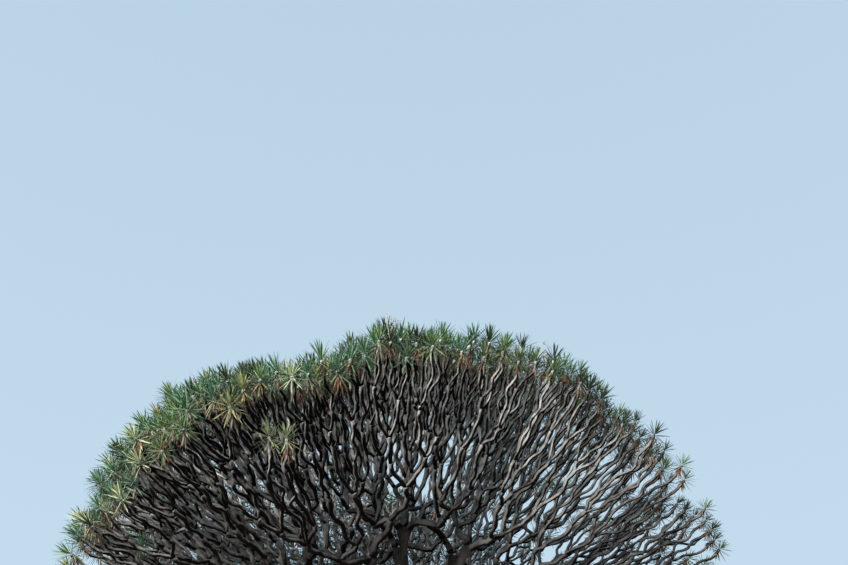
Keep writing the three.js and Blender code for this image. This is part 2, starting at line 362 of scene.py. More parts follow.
@dataclass(frozen=True)
class LimbForm:
    """How a limb runs and swells from one fork to the next.

    Attributes:
        ring_step, fewest_steps: How far apart its rings are, and how many steps it has at least.
        leave, arrive: How far it keeps the way it leaves and arrives, as shares of its length.
        stray: How far a limb a metre long wavers.
        stray_turns, stray_wave: How many waves it has at least, and the length that adds one.
        stray_fullness: The power of the curve by which the wavering sets in, sooner where it is low.
        second_rate, second_share: How fast and how far it wavers the other way, beside the first.
        waist, waist_at: How much thinner it is just above its root, and where.
        knee, knee_from: How much thicker it gets towards a fork, and from where.
        lobes, lobes_a_metre: How deep the swellings along it are, and how many.
        dullest: How light the darkest limbs are beside the lightest.
    """

    ring_step: float = 0.16
    fewest_steps: int = 4
    leave: float = 0.42
    arrive: float = 0.36
    stray: float = 0.065
    stray_turns: float = 0.4
    stray_wave: float = 1.4
    stray_fullness: float = 0.7
    second_rate: float = 1.7
    second_share: float = 0.5
    waist: float = 0.10
    waist_at: float = 0.12
    knee: float = 0.12
    knee_from: float = 0.72
    lobes: float = 0.08
    lobes_a_metre: float = 2.2
    dullest: float = 0.6

    def limb(self, start: Array, heading: Array, end: Array, finish: Array, radii: Span, tips: int,
             draw: np.random.Generator) -> Limb:
        """A limb that wavers from one fork to the next, with a waist at its root and a knee at its end.

        Args:
            start: Where it leaves the last fork.
            heading: The way it leaves.
            end: Where it ends.
            finish: The way it points there.
            radii: Its radius at the start and at the end.
            tips: How many tips it feeds.
            draw: The numbers that its wavering is drawn from.

        Returns:
            The limb.
        """
        span = np.linalg.norm(end - start)
        t = np.linspace(0, 1, max(self.fewest_steps, math.ceil(span / self.ring_step)) + 1)
        handles = (start, start + heading * self.leave * span, end - finish * self.arrive * span, end)
        weights = ((1 - t) ** 3, 3 * (1 - t) ** 2 * t, 3 * (1 - t) * t**2, t**3)
        line = sum(weight[:, None] * handle for weight, handle in zip(weights, handles))
        first = across(finish)
        second = np.cross(finish, first)
        turn = math.tau * ((self.stray_turns + span / self.stray_wave) * t + draw.random())
        swing = self.stray * math.sqrt(span) * np.sin(math.pi * t) ** self.stray_fullness
        one, other = draw.uniform(-1, 1, 2)
        line = line + (swing * np.sin(turn))[:, None] * (first * one + second * other)
        swing = swing * np.cos(self.second_rate * turn) * self.second_share
        line += swing[:, None] * (second * one - first * other)
        plain = radii[0] + (radii[1] - radii[0]) * t
        waist = 1 - self.waist * np.exp(-(((t - self.waist_at) / self.waist_at) ** 2))
        knee = 1 + self.knee * ease(self.knee_from, 1.0, t) * (tips > 1)
        swellings = t * max(1.0, self.lobes_a_metre * span) + draw.random()
        lobes = 1 + self.lobes * np.sin(math.tau * swellings)
        return Limb(line, plain * waist * knee * lobes, tips, draw.uniform(self.dullest, 1.0))


@dataclass(frozen=True)
class Growth:
    """Counts, thicknesses and turns of the limbs.

    Attributes:
        mass_seeds, tip_seeds: How many masses and tips the fan is asked for.
        stems_per_bough: How many masses a bough carries at most.
        tip_pull: How far the tips of a mass draw together.
        lump: How far one mass stands out beyond or behind another.
        leaf_reach: How far the leaves reach beyond a tip.
        head_radius, knob_radius: How far the trunk's head and a bough's forked end are from the hub.
        knob_reach: How long the stub is on which a mass's stem starts.
        knob_aim: The distance from the hub that the stubs aim at.
        knob_spread: How much wider they spread than that, or how much less where it is below 0.
        foot_aside: How much more a shoot minds a step aside than one down.
        shoots: The side shoots inside the crown.
        twig, swell: The radius of a twig, and how fast a limb thickens with the tips that it feeds.
        stem: The radius of a mass's stem at its root.
        root_share: A limb's radius where it leaves a fork, beside what its tips ask for.
        early, first_fork: How early the forks come, and the least share of the way out to the first one.
        tilt: How far each of the two limbs of a fork turns aside.
        jitter, tip_jitter: How far forks stray along the way out, as a share of it, and how far tips do.
        lift, twig_lift: How much limbs and twigs turn up at their ends.
        form: How a limb runs from one fork to the next.
        openings: The stretches of the crown that differ from the rest.
    """

    mass_seeds: int = 47
    tip_seeds: int = 2150
    stems_per_bough: int = 3
    tip_pull: float = 0.02
    lump: float = 0.32
    leaf_reach: float = 0.33
    head_radius: float = 2.35
    knob_radius: float = 4.15
    knob_reach: float = 0.45
    knob_aim: float = 8.0
    knob_spread: float = -0.25
    foot_aside: float = 3.0
    shoots: tuple[Shoot, ...] = (
        Shoot(around=-113, elevation=26.5, distance=9.5, drop=1.7, pale=True),
        Shoot(around=-110.5, elevation=27.0, distance=9.3, drop=1.7, pale=True),
        Shoot(around=20, elevation=22, distance=8.4, drop=0.8),
        Shoot(around=95, elevation=18, distance=8.0, drop=0.8),
        Shoot(around=150, elevation=20, distance=8.3, drop=1.2, pale=True),
        Shoot(around=205, elevation=19, distance=8.6, drop=0.8),
    )
    twig: float = 0.046
    swell: float = 0.185
    stem: float = 0.118
    root_share: float = 0.95
    early: float = 1.7
    first_fork: float = 0.06
    tilt: float = math.radians(33)
    jitter: float = 0.09
    tip_jitter: float = 0.24
    lift: float = 0.15
    twig_lift: float = 0.45
    form: LimbForm = LimbForm()
    openings: tuple[Opening, ...] = (
        Opening(facing=-8, height=0, full_within=28, none_beyond=50, missing=0.36, smaller=0.3),
        Opening(facing=-6, height=0, full_within=23, none_beyond=28, lower=-0.6, narrowness=6),
        Opening(facing=-22, height=33, full_within=5, none_beyond=14, lower=0.4, narrowness=8),
        Opening(facing=24, height=45, full_within=12, none_beyond=26, missing=0.72, smaller=0.2,
                narrowness=3),
        Opening(facing=90, height=71, full_within=13, none_beyond=19, missing=0.82, narrowness=1),
        Opening(facing=175, height=62, full_within=10, none_beyond=24, missing=0.45),
        Opening(facing=190, height=0, full_within=21, none_beyond=29, missing=0.55, smaller=0.15),
        Opening(facing=-110, height=46, full_within=6, none_beyond=16, lower=0.9, narrowness=60),
        Opening(facing=-130, height=42, full_within=6, none_beyond=18, lower=0.25, narrowness=30),
        Opening(facing=-145, height=33, full_within=6, none_beyond=16, lower=-0.18, narrowness=50),
        Opening(facing=-85, height=44, full_within=6, none_beyond=16, lower=0.3, narrowness=100),
        Opening(facing=-68, height=45, full_within=5, none_beyond=14, lower=-0.25, narrowness=140),
        Opening(facing=180, height=11, full_within=8, none_beyond=22, lower=0.6, narrowness=4),
    )

    def radius(self, tips: int) -> float:
        """The radius of a limb that feeds so many tips."""
        return self.twig * tips**self.swell

    def kept(self, tips: Array) -> Array:
        """The tips less some where the crown is open."""
        shares = [max(opening.missing * opening.depth(tip) for opening in self.openings) for tip in tips]
        return tips[[chance(number, Deal.OPENING) >= share for number, share in enumerate(shares)]]

    def size(self, direction: Array) -> float:
        """How large the rosettes are in a direction, as a share of the full size."""
        return 1 - max(opening.smaller * opening.depth(direction) for opening in self.openings)

    def dip(self, direction: Array) -> float:
        """How far within its rounded form the crown ends in a direction."""
        return sum(opening.lower * opening.depth(direction) for opening in self.openings)


@dataclass
class Tip:
    """A twig's end.

    Attributes:
        place, axis: Where it is, and the way it points.
        number: A number of its own.
        size, pale: Its rosette's size as a share of the full one, and whether it is a pale one.
    """

    place: Array
    axis: Array
    number: int
    size: float = 1.0
    pale: bool = False


@dataclass
class Mass:
    """One mass of the crown.

    Attributes:
        index: Its number, from 0.
        centre: The direction of its middle.
        tips: The directions of its tips.
        start, heading: Where its stem starts, and the way it leaves.
        limbs: Its limbs, once it is grown.
        ends: Its tips, once it is grown.
    """

    index: int
    centre: Array
    tips: Array
    start: Array
    heading: Array
    limbs: list[Limb] = field(default_factory=list)
    ends: list[Tip] = field(default_factory=list)

    @property
    def node(self) -> str:
        """The name of the solid that this mass stands for."""
        return f"crown_mass_{self.index + 1:02d}"


@dataclass
class Bough:
    """A main bough: its direction from the hub and the masses that it carries."""

    direction: Array
    masses: list[Mass]


def mean_direction(group: Array) -> Array:
    """The middle of a group of directions."""
    return unit(group.sum(axis=0))


def halve(table: Array, group: Array) -> tuple[Array, Array]:
    """Splits a group of directions in two, across its longest way.

    Args:
        table: All directions.
        group: The rows of the table that are in the group.

    Returns:
        The rows of each half.
    """
    members = table[group]
    offsets = members - mean_direction(members)
    axis = offsets[np.argmax((offsets**2).sum(axis=1))]
    order = np.argsort(members @ axis, kind="stable")
    cut = (len(group) + 1) // 2
    return group[order[:cut]], group[order[cut:]]


class Skeleton:
    """All boughs, limbs and tips of the tree."""

    def __init__(self, crown: Crown, growth: Growth) -> None:
        """Grows the whole crown.

        Args:
            crown: The form to fill.
            growth: Counts, thicknesses and turns of the limbs.
        """
        self.crown = crown
        self.growth = growth
        centres = crown.fan(growth.mass_seeds)
        tips = growth.kept(crown.fan(growth.tip_seeds))
        owner = np.argmax(tips @ centres.T, axis=1)
        pulled = unit(tips + (centres[owner] - tips) * growth.tip_pull)
        self.boughs = []
        for group in self.bough_groups(centres, np.arange(len(centres))):
            direction = mean_direction(centres[group])
            foot = crown.place(direction, growth.knob_radius)
            masses = []
            for index, heading in zip(group, self.stem_headings(direction, centres[group])):
                start = foot + heading * growth.knob_reach
                masses.append(Mass(index, centres[index], pulled[owner == index], start, heading))
            self.boughs.append(Bough(direction, masses))
        for mass in self.masses:
            self.grow(mass, np.arange(len(mass.tips)), 1, mass.start, mass.heading, growth.stem)
        for number, shoot in enumerate(growth.shoots):
            self.sprout(shoot, number)

    @property
    def masses(self) -> list[Mass]:
        """Every mass of the crown."""
        return [mass for bough in self.boughs for mass in bough.masses]

    @property
    def tips(self) -> list[Tip]:
        """Every tip of the crown."""
        return [tip for mass in self.masses for tip in mass.ends]

    @property
    def nodes(self) -> list[str]:
        """The names of all solids that the masses stand for."""
        return [mass.node for mass in self.masses]

    def bough_groups(self, centres: Array, group: Array) -> list[Array]:
        """Splits the masses into groups of a few that one bough carries.

        Args:
            centres: The directions of all masses.
            group: The rows of those that are still to be split.

        Returns:
            The rows of each group.
        """
        if len(group) <= self.growth.stems_per_bough:
            return [group]
        one, other = halve(centres, group)
        return self.bough_groups(centres, one) + self.bough_groups(centres, other)

    def stem_headings(self, direction: Array, centres: Array) -> list[Array]:
        """The way each stem leaves the forked end of its bough, spread less than the masses lie apart.

        Args:
            direction: The bough's direction from the hub.
            centres: The directions of its masses.

        Returns:
            A unit vector for each mass.
        """
        knob = self.crown.place(direction, self.growth.knob_radius)
        run = self.crown.course(direction, self.growth.knob_radius)
        found = []
        for centre in centres:
            heading = unit(self.crown.place(centre, self.growth.knob_aim) - knob)
            aside = heading - run * heading.dot(run)
            found.append(unit(heading + aside * self.growth.knob_spread))
        return found

    def fork_point(self, mass: Mass, group: Array, number: int) -> tuple[Array, Array]:
        """Where a limb that feeds a group of tips ends.

        Args:
            mass: The mass that it is in.
            group: The rows of the mass's tips that it feeds.
            number: Its number in the mass.

        Returns:
            Its end, and the way it points there.
        """
        crown, growth = self.crown, self.growth
        direction = mean_direction(mass.tips[group])
        rounds = math.log2(len(mass.tips)) + 1
        share = ((rounds - math.log2(len(group))) / rounds) ** growth.early
        share = growth.first_fork + (1 - growth.first_fork) * share
        stray = sway(mass.index, number)
        inner = growth.knob_radius + growth.knob_reach
        lump = growth.lump * sway(mass.index, Deal.LUMP)
        outer = crown.reach(direction) - growth.leaf_reach + lump - growth.dip(direction)
        distance = inner + (outer - inner) * share
        if len(group) > 1:
            distance += growth.jitter * stray * (outer - inner)
            lift = growth.lift
        else:
            distance += growth.tip_jitter * stray
            lift = growth.twig_lift
        return crown.place(direction, distance), unit(crown.course(direction, distance) + UP * lift)

    def grow(self, mass: Mass, group: Array, number: int, start: Array, heading: Array, thick: float) -> None:
        """Grows a limb of a mass and all that it carries, halving its tips until each has a twig of its own.

        Args:
            mass: The mass.
            group: The rows of the mass's tips that the limb feeds.
            number: The limb's number, of which the two that it carries have twice.
            start: Where it leaves the last fork.
            heading: The way it leaves.
            thick: Its radius there.
        """
        growth = self.growth
        end, finish = self.fork_point(mass, group, number)
        draw = np.random.default_rng([mass.index, number])
        radii = (thick, growth.radius(len(group)))
        mass.limbs.append(growth.form.limb(start, heading, end, finish, radii, len(group), draw))
        if len(group) == 1:
            size = growth.size(mass.tips[group[0]])
            mass.ends.append(Tip(end, finish, MASS_NUMBERS * mass.index + number, size))
            return
        halves = halve(mass.tips, group)
        ends = [self.fork_point(mass, half, 2 * number + k)[0] for k, half in enumerate(halves)]
        apart = ends[0] - ends[1]
        apart = unit(apart - finish * apart.dot(finish))
        for k, (half, way) in enumerate(zip(halves, (1, -1))):
            turned = finish * math.cos(growth.tilt) + apart * (way * math.sin(growth.tilt))
            thick = growth.root_share * growth.radius(len(half))
            self.grow(mass, half, 2 * number + k, end, turned, thick)

    def sprout(self, shoot: Shoot, number: int) -> None:
        """Grows a side shoot from the limb that is nearest to its foot.

        Args:
            shoot: The shoot.
            number: A number of its own.
        """
        growth = self.growth
        place = shoot.place(self.crown.hub * UP)
        foot = place - UP * shoot.drop
        weights = np.array([growth.foot_aside, growth.foot_aside, 1.0])
        _, nearest, start = min(
            (float(np.linalg.norm((point - foot) * weights)), m, tuple(point))
            for m, mass in enumerate(self.masses)
            for limb in mass.limbs
            for point in limb.line
            if point[2] < foot[2]
        )
        start = np.array(start)
        heading = unit(place - start)
        draw = np.random.default_rng(number)
        stem = growth.form.limb(start, heading, place, UP, (growth.twig, growth.twig), 1, draw)
        stem.lightness = 1.0
        mass = self.masses[nearest]
        mass.limbs.append(stem)
        mass.ends.append(Tip(place, unit(heading + UP), number, 1.0, shoot.pale))


def spokes(runs: Array, sides: int) -> Array:
    """Unit vectors out from each point of a line, square to it and without a twist along it.

    Args:
        runs: The way that the line runs at each point.
        sides: How many vectors each point has.

    Returns:
        A row of vectors for each point.
    """
    side = across(runs[0])
    firsts = np.empty_like(runs)
    for i, run in enumerate(runs):
        side = unit(side - run * side.dot(run))
        firsts[i] = side
    seconds = np.cross(runs, firsts)
    angles = (math.tau * np.arange(sides) / sides)[None, :, None]
    return firsts[:, None] * np.cos(angles) + seconds[:, None] * np.sin(angles)


def tube_faces(rings: int, sides: int) -> list[Array]:
    """Faces of a tube, whose points are its rings in turn, then the middles of its root and its end.

    Args:
        rings: How many rings it has.
        sides: How many points a ring has.

    Returns:
        The four-sided faces of its wall, and the triangles that close it.
    """
    k = np.arange(sides)
    after = (k + 1) % sides
    lower = (np.arange(rings - 1) * sides)[:, None]
    upper = lower + sides
    wall = np.stack([lower + k, lower + after, upper + after, upper + k], axis=-1)
    root = rings * sides
    last = root - sides
    caps = [
        np.stack([np.full(sides, root), after, k], axis=-1),
        np.stack([np.full(sides, root + 1), last + k, last + after], axis=-1),
    ]
    return [wall.reshape(-1, wall.shape[-1]), np.vstack(caps)]


class Skin:
    """Points and faces of many small shapes, gathered as arrays and made into one mesh.

    Attributes:
        dome_rise, dome_radius, dome_top: A dome's ring and top at a tube's end, as shares of its radius.
    """

    dome_rise: float = 0.45
    dome_radius: float = 0.76
    dome_top: float = 0.35

    def __init__(self) -> None:
        """Starts with nothing in it."""
        self.points: list[Array] = []
        self.notes: dict[str, list[Array]] = {"along": [], "shade": []}
        self.faces: dict[int, list[Array]] = {3: [], 4: []}
        self.count = 0

    def add(self, points: Array, faces: list[Array], **notes: Array) -> None:
        """Adds one shape.

        Args:
            points: Its points.
            faces: Arrays of its faces, each with three or four corners a row.
            notes: For each point, how far along the shape it lies, and how light its painted shade leaves it.
        """
        self.points.append(points)
        for name, rows in self.notes.items():
            rows.append(notes.get(name, np.ones(len(points))))
        for rows in faces:
            self.faces[rows.shape[1]].append(rows + self.count)
        self.count += len(points)

    def tube(self, line: Array, radii: Array, sides: int, shade: Array) -> None:
        """Adds a round limb along a line, closed at its root and domed at its end.

        Args:
            line: Its middle line.
            radii: Its radius at each point of the line.
            sides: How many sides its section has.
            shade: How light its painted shade leaves it at each point of the line.
        """
        runs = unit(np.gradient(line, axis=0))
        line = np.vstack([line, line[-1] + runs[-1] * radii[-1] * self.dome_rise])
        radii = np.append(radii, radii[-1] * self.dome_radius)
        runs = np.vstack([runs, runs[-1]])
        top = line[-1] + runs[-1] * radii[-1] * self.dome_top
        corners = (line[:, None] + radii[:, None, None] * spokes(runs, sides)).reshape(-1, 3)
        steps = np.linalg.norm(np.diff(line, axis=0), axis=1)
        length = np.concatenate([[0], np.cumsum(steps)])
        along = np.concatenate([np.repeat(length, sides), [0], [length[-1]]])
        shade = np.append(shade, shade[-1])
        shade = np.concatenate([np.repeat(shade, sides), shade[:1], shade[-1:]])
        points = np.vstack([corners, line[0], top])
        self.add(points, tube_faces(len(line), sides), along=along, shade=shade)

    def build(self, name: str, material: bpy.types.Material, smooth: bool) -> bpy.types.Object:
        """Makes the mesh and its object.

        Args:
            name: The piece's name.
            material: Its finish.
            smooth: Whether its faces are shaded as one round surface.

        Returns:
            The piece, in place in its mesh.
        """
        mesh = bpy.data.meshes.new(name)
        points = np.concatenate(self.points)
        rows = [np.concatenate(rows) for rows in self.faces.values() if rows]
        corners = np.concatenate([row.ravel() for row in rows])
        sizes = np.concatenate([np.full(len(row), row.shape[1]) for row in rows])
        starts = np.concatenate([[0], np.cumsum(sizes)[:-1]])
        mesh.vertices.add(len(points))
        mesh.vertices.foreach_set("co", points.astype(np.float32).ravel())
        mesh.loops.add(len(corners))
        mesh.loops.foreach_set("vertex_index", corners.astype(np.int32))
        mesh.polygons.add(len(sizes))
        mesh.polygons.foreach_set("loop_start", starts.astype(np.int32))
        mesh.polygons.foreach_set("use_smooth", np.full(len(sizes), smooth))
        for note, values in self.notes.items():
            made = mesh.attributes.new(note, "FLOAT", "POINT")
            made.data.foreach_set("value", np.concatenate(values).astype(np.float32))
        mesh.update(calc_edges=True)
        mesh.materials.append(material)
        piece = bpy.data.objects.new(name, mesh)
        bpy.context.scene.collection.objects.link(piece)
        return piece


class Wire:
    """A socket of a node tree, whose value can be used in Python expressions."""

    def __init__(self, graph: "Graph", socket: bpy.types.NodeSocket) -> None:
        """Wraps a socket of a graph."""
        self.graph = graph
        self.socket = socket

    def _math(self, operation: str, *values: "Wire | float") -> "Wire":
        """Adds a Math node over some values."""
        return self.graph.node("ShaderNodeMath", {"operation": operation}, dict(enumerate(values)))

    def __add__(self, other: "Wire | float") -> "Wire":
        """The sum."""
        return self._math("ADD", self, other)

    __radd__ = __add__

    def __sub__(self, other: "Wire | float") -> "Wire":
        """The difference."""
        return self._math("SUBTRACT", self, other)

    def __rsub__(self, other: float) -> "Wire":
        """A number less this value."""
        return self._math("SUBTRACT", other, self)

    def __mul__(self, other: "Wire | float") -> "Wire":
        """The product."""
        return self._math("MULTIPLY", self, other)

    __rmul__ = __mul__

    def wave(self) -> "Wire":
        """The sine of the value."""
        return self._math("SINE", self)

    def span(self, low: float, high: float) -> "Wire":
        """A smooth step from 0 at the low value to 1 at the high one."""
        inputs = {"Value": self, "From Min": low, "From Max": high}
        return self.graph.node("ShaderNodeMapRange", {"interpolation_type": "SMOOTHSTEP"}, inputs)


@dataclass(frozen=True)
class Cloud:
    """A cloudy pattern: its spots to a metre, its finer layers, and its stretch along each axis."""

    scale: float
    detail: float = 3.0
    stretch: Triple = (1.0, 1.0, 1.0)


@dataclass(frozen=True)
class Patches:
    """Patches of another colour: the cloud that they follow, and where in its values their edge lies."""

    cloud: Cloud
    edge: Span


class Graph:
    """A material's node tree, built by expressions."""

    def __init__(self, name: str) -> None:
        """Starts a material that has its shader and nothing else.

        Args:
            name: The material's name.
        """
        self.material = bpy.data.materials.new(name)
        self.material.use_nodes = True
        self.tree = self.material.node_tree
        shader = self.tree.nodes["Principled BSDF"]
        self.sockets = {socket.name.lower(): socket for socket in shader.inputs}

    def node(self, kind: str, settings: dict, inputs: dict, output: int | str = 0) -> Wire:
        """Adds a node.

        Args:
            kind: Its type.
            settings: Its own settings, such as an operation.
            inputs: Values or wires for its sockets.
            output: Which of its outputs is wanted.

        Returns:
            That output.
        """
        made = self.tree.nodes.new(kind)
        for name, value in settings.items():
            setattr(made, name, value)
        for key, value in inputs.items():
            self.feed(made.inputs[key], value)
        return Wire(self, made.outputs[output])

    def feed(self, socket: bpy.types.NodeSocket, value: "Wire | float | tuple") -> None:
        """Sets a socket, or links a wire to it.

        Args:
            socket: The socket.
            value: A wire, a number, a vector or a colour.
        """
        if isinstance(value, Wire):
            self.tree.links.new(value.socket, socket)
        elif socket.type == "RGBA":
            socket.default_value = (*value, 1.0)
        else:
            socket.default_value = value

    def set(self, **sockets: "Wire | float | tuple") -> None:
        """Feeds the shader's own sockets, whose names are told with underscores."""
        for name, value in sockets.items():
            self.feed(self.sockets[name.replace("_", " ")], value)

    def note(self, name: str) -> Wire:
        """A value noted at the mesh's points."""
        return self.node("ShaderNodeAttribute", {"attribute_name": name}, {}, "Fac")

    def place(self) -> Wire:
        """The point in the tree's own frame."""
        return self.node("ShaderNodeTexCoord", {}, {}, "Object")

    def facing(self, direction: Triple) -> Wire:
        """How far the surface faces a direction, from -1 to 1."""
        inputs = {0: self.node("ShaderNodeNewGeometry", {}, {}, "Normal"), 1: direction}
        return self.node("ShaderNodeVectorMath", {"operation": "DOT_PRODUCT"}, inputs, "Value")

    def mottle(self, cloud: Cloud) -> Wire:
        """The cloudy pattern's value, from 0 to 1."""
        point = self.node("ShaderNodeMapping", {}, {"Vector": self.place(), "Scale": cloud.stretch})
        inputs = {"Vector": point, "Scale": cloud.scale, "Detail": cloud.detail}
        return self.node("ShaderNodeTexNoise", {}, inputs)

    def patches(self, patches: Patches) -> Wire:
        """How far a point lies in a patch, from 0 to 1."""
        return self.mottle(patches.cloud).span(*patches.edge)

    def mix(self, share: "Wire | float", low: "Wire | Colour", high: "Wire | Colour") -> Wire:
        """A colour between two others."""
        return self.node("ShaderNodeMix", {"data_type": "RGBA"}, {0: share, 6: low, 7: high}, 2)

    def bump(self, height: Wire, strength: float, distance: float) -> Wire:
        """The normal of a surface with that relief."""
        return self.node("ShaderNodeBump", {}, {"Strength": strength, "Distance": distance, "Height": height})


@dataclass(frozen=True)
class LimbBark:
    """Smooth grey bark with leaf-scar rings, painted light on its upper left side and near-black painted
    shade below.

    Attributes:
        pale, grey, deep: The painted highlight, the grey of the lit side, and the near-black painted shade of
            the lower side.
        warm, moss, stain: The colours of its stains, and their strength.
        inner: The colour of limbs in full painted shade.
        weather, weather_edge: The way the painted light comes from, and how the edge of the lit side lies.
        blotch, blotch_sway: The cloud that breaks that edge, and how far.
        warm_patches, moss_patches, pale_patches: Where the stains and the painted highlights show.
        ring_step, ring_depth: How far apart the leaf-scar rings are, and how deep beside the grain.
        ring_cloud, ring_sway: The cloud that makes the rings waver, and how far.
        grain, relief, relief_depth: The finest relief, and the strength and depth of all relief.
    """

    name: str = "limb_bark"
    pale: Colour = (0.82, 0.815, 0.80)
    grey: Colour = (0.385, 0.378, 0.370)
    deep: Colour = (0.003, 0.0026, 0.0026)
    warm: Colour = (0.22, 0.16, 0.11)
    moss: Colour = (0.15, 0.165, 0.09)
    stain: float = 0.5
    inner: Colour = (0.008, 0.005, 0.004)
    weather: Triple = (-0.5, -0.3, 0.81)
    weather_edge: Span = (-0.35, 0.3)
    blotch: Cloud = Cloud(5.0)
    blotch_sway: float = 1.2
    warm_patches: Patches = Patches(Cloud(0.35), (0.5, 0.72))
    moss_patches: Patches = Patches(Cloud(0.9), (0.6, 0.75))
    pale_patches: Patches = Patches(Cloud(2.6), (0.38, 0.52))
    ring_step: float = 0.035
    ring_depth: float = 0.3
    ring_cloud: Cloud = Cloud(9.0)
    ring_sway: float = 5.0
    grain: Cloud = Cloud(26.0, 4.0)
    relief: float = 0.7
    relief_depth: float = 0.02
    roughness: float = 0.86
    gloss: float = 0.04

    def build(self) -> bpy.types.Material:
        """Makes the material.

        Returns:
            The material.
        """
        g = Graph(self.name)
        blotch = (g.mottle(self.blotch) - 0.5) * self.blotch_sway
        # Painted light: the side that faces the light's way is lit grey, and the rest is painted shade, near
        # black.
        top = (g.facing(self.weather) + blotch).span(*self.weather_edge)
        colour = g.mix(top, self.deep, self.grey)
        colour = g.mix(g.patches(self.warm_patches) * top * self.stain, colour, self.warm)
        colour = g.mix(g.patches(self.moss_patches) * top * self.stain, colour, self.moss)
        # Painted highlights in pale patches on the lit side.
        colour = g.mix(top * g.patches(self.pale_patches), colour, self.pale)
        # Painted shade noted at the points: darker near the hub, low down, to the rear and to the right.
        colour = g.mix(g.note("shade"), self.inner, colour)
        turns = g.note("along") * (math.tau / self.ring_step)
        rings = (turns + g.mottle(self.ring_cloud) * self.ring_sway).wave()
        relief = rings * self.ring_depth + g.mottle(self.grain)
        normal = g.bump(relief, self.relief, self.relief_depth)
        g.set(base_color=colour, roughness=self.roughness, specular_ior_level=self.gloss, normal=normal)
        return g.material


@dataclass(frozen=True)
class TrunkBark:
    """Silver-grey bark in ropes and folds, darker in the furrows, with painted shade under the crown.

    Attributes:
        pale, grey, deep, warm: The colours of its ridges, its flats, its furrows and its stains.
        dark_from_to: The heights between which painted shade darkens it under the crown.
        streaks, fibres, folds, knots: The clouds of its relief and colour, from long streaks to knots.
        streak_share, fibre_share, furrow_edge: How two of them mix to furrows, and how their edge lies.
        warm_patches, warm_low, warm_all: Where stains show, and their strength on the trunk alone and on all.
        shade_low, shade_all: The lightness that painted shade leaves the trunk alone, below the crown, and
            all of the bark.
        pale_fibres, pale_streaks, pale_share: Where the ridges are pale, and how much.
        depths: How deep each of the clouds is in the relief.
        relief, relief_depth: The strength and depth of all relief.
    """

    name: str = "trunk_bark"
    pale: Colour = (0.36, 0.34, 0.315)
    grey: Colour = (0.17, 0.155, 0.14)
    deep: Colour = (0.020, 0.017, 0.016)
    warm: Colour = (0.17, 0.12, 0.08)
    dark_from_to: Span = (4.6, 7.0)
    streaks: Cloud = Cloud(5.0, 6.0, (1.0, 1.0, 0.14))
    fibres: Cloud = Cloud(9.0, 5.0, (1.0, 1.0, 0.3))
    folds: Cloud = Cloud(2.2, 4.0, (0.6, 0.6, 2.6))
    knots: Cloud = Cloud(24.0, 4.0)
    streak_share: float = 0.7
    fibre_share: float = 0.3
    furrow_edge: Span = (0.40, 0.58)
    warm_patches: Patches = Patches(Cloud(0.8), (0.45, 0.65))
    warm_low: float = 0.5
    warm_all: float = 0.1
    shade_low: float = 0.8
    shade_all: float = 0.2
    pale_fibres: Span = (0.46, 0.62)
    pale_streaks: Span = (0.44, 0.6)
    pale_share: float = 0.7
    depths: tuple[float, float, float, float] = (1.3, 0.6, 0.35, 0.3)
    relief: float = 0.9
    relief_depth: float = 0.07
    roughness: float = 0.9
    gloss: float = 0.12

    def build(self) -> bpy.types.Material:
        """Makes the material.

        Returns:
            The material.
        """
        g = Graph(self.name)
        streak, fibre, fold, knot = (
            g.mottle(cloud) for cloud in (self.streaks, self.fibres, self.folds, self.knots))
        height = g.node("ShaderNodeSeparateXYZ", {}, {0: g.place()}, 2)
        low = 1 - height.span(*self.dark_from_to)
        furrows = (streak * self.streak_share + fibre * self.fibre_share).span(*self.furrow_edge)
        colour = g.mix(furrows, self.deep, self.grey)
        stain = g.patches(self.warm_patches) * (low * self.warm_low + self.warm_all)
        colour = g.mix(stain, colour, self.warm)
        # Painted shade: the bark up under the crown is mixed towards the furrows' near-black colour.
        colour = g.mix(low * self.shade_low + self.shade_all, self.deep, colour)
        ridges = low * fibre.span(*self.pale_fibres) * streak.span(*self.pale_streaks) * self.pale_share
        colour = g.mix(ridges, colour, self.pale)
        streaked, fibrous, folded, knotted = self.depths
        relief = streak * streaked + fibre * fibrous + fold * folded + knot * knotted
        normal = g.bump(relief, self.relief, self.relief_depth)
        g.set(base_color=colour, roughness=self.roughness, specular_ior_level=self.gloss, normal=normal)
        return g.material


@dataclass(frozen=True)
class LeafFinish:
    """Leaf of one colour, a little lighter and darker from place to place."""

    name: str
    colour: Colour
    roughness: float = 0.5
    spread: float = 0.35
    gloss: float = 0.25
    patches: Patches = Patches(Cloud(7.0, 2.0), (0.3, 0.7))

    def build(self) -> bpy.types.Material:
        """Makes the material.

        Returns:
            The material.
        """
        g = Graph(self.name)
        dark = tuple(part * (1 - self.spread) for part in self.colour)
        light = tuple(min(1.0, part * (1 + self.spread)) for part in self.colour)
        colour = g.mix(g.patches(self.patches), dark, light)
        g.set(base_color=colour, roughness=self.roughness, specular_ior_level=self.gloss)
        return g.material


def hand_over(piece: bpy.types.Object, nodes: list[str]) -> None:
    """Rides a piece on the tree and lets it stand for some solids.

    Args:
        piece: The finished piece.
        nodes: The solids that it replaces.
    """
    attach(piece, BODY)
    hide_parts(*nodes)
    triangles = sum(len(face.vertices) - 2 for face in piece.data.polygons)
    log.info("%s: %d triangles", piece.name, triangles)


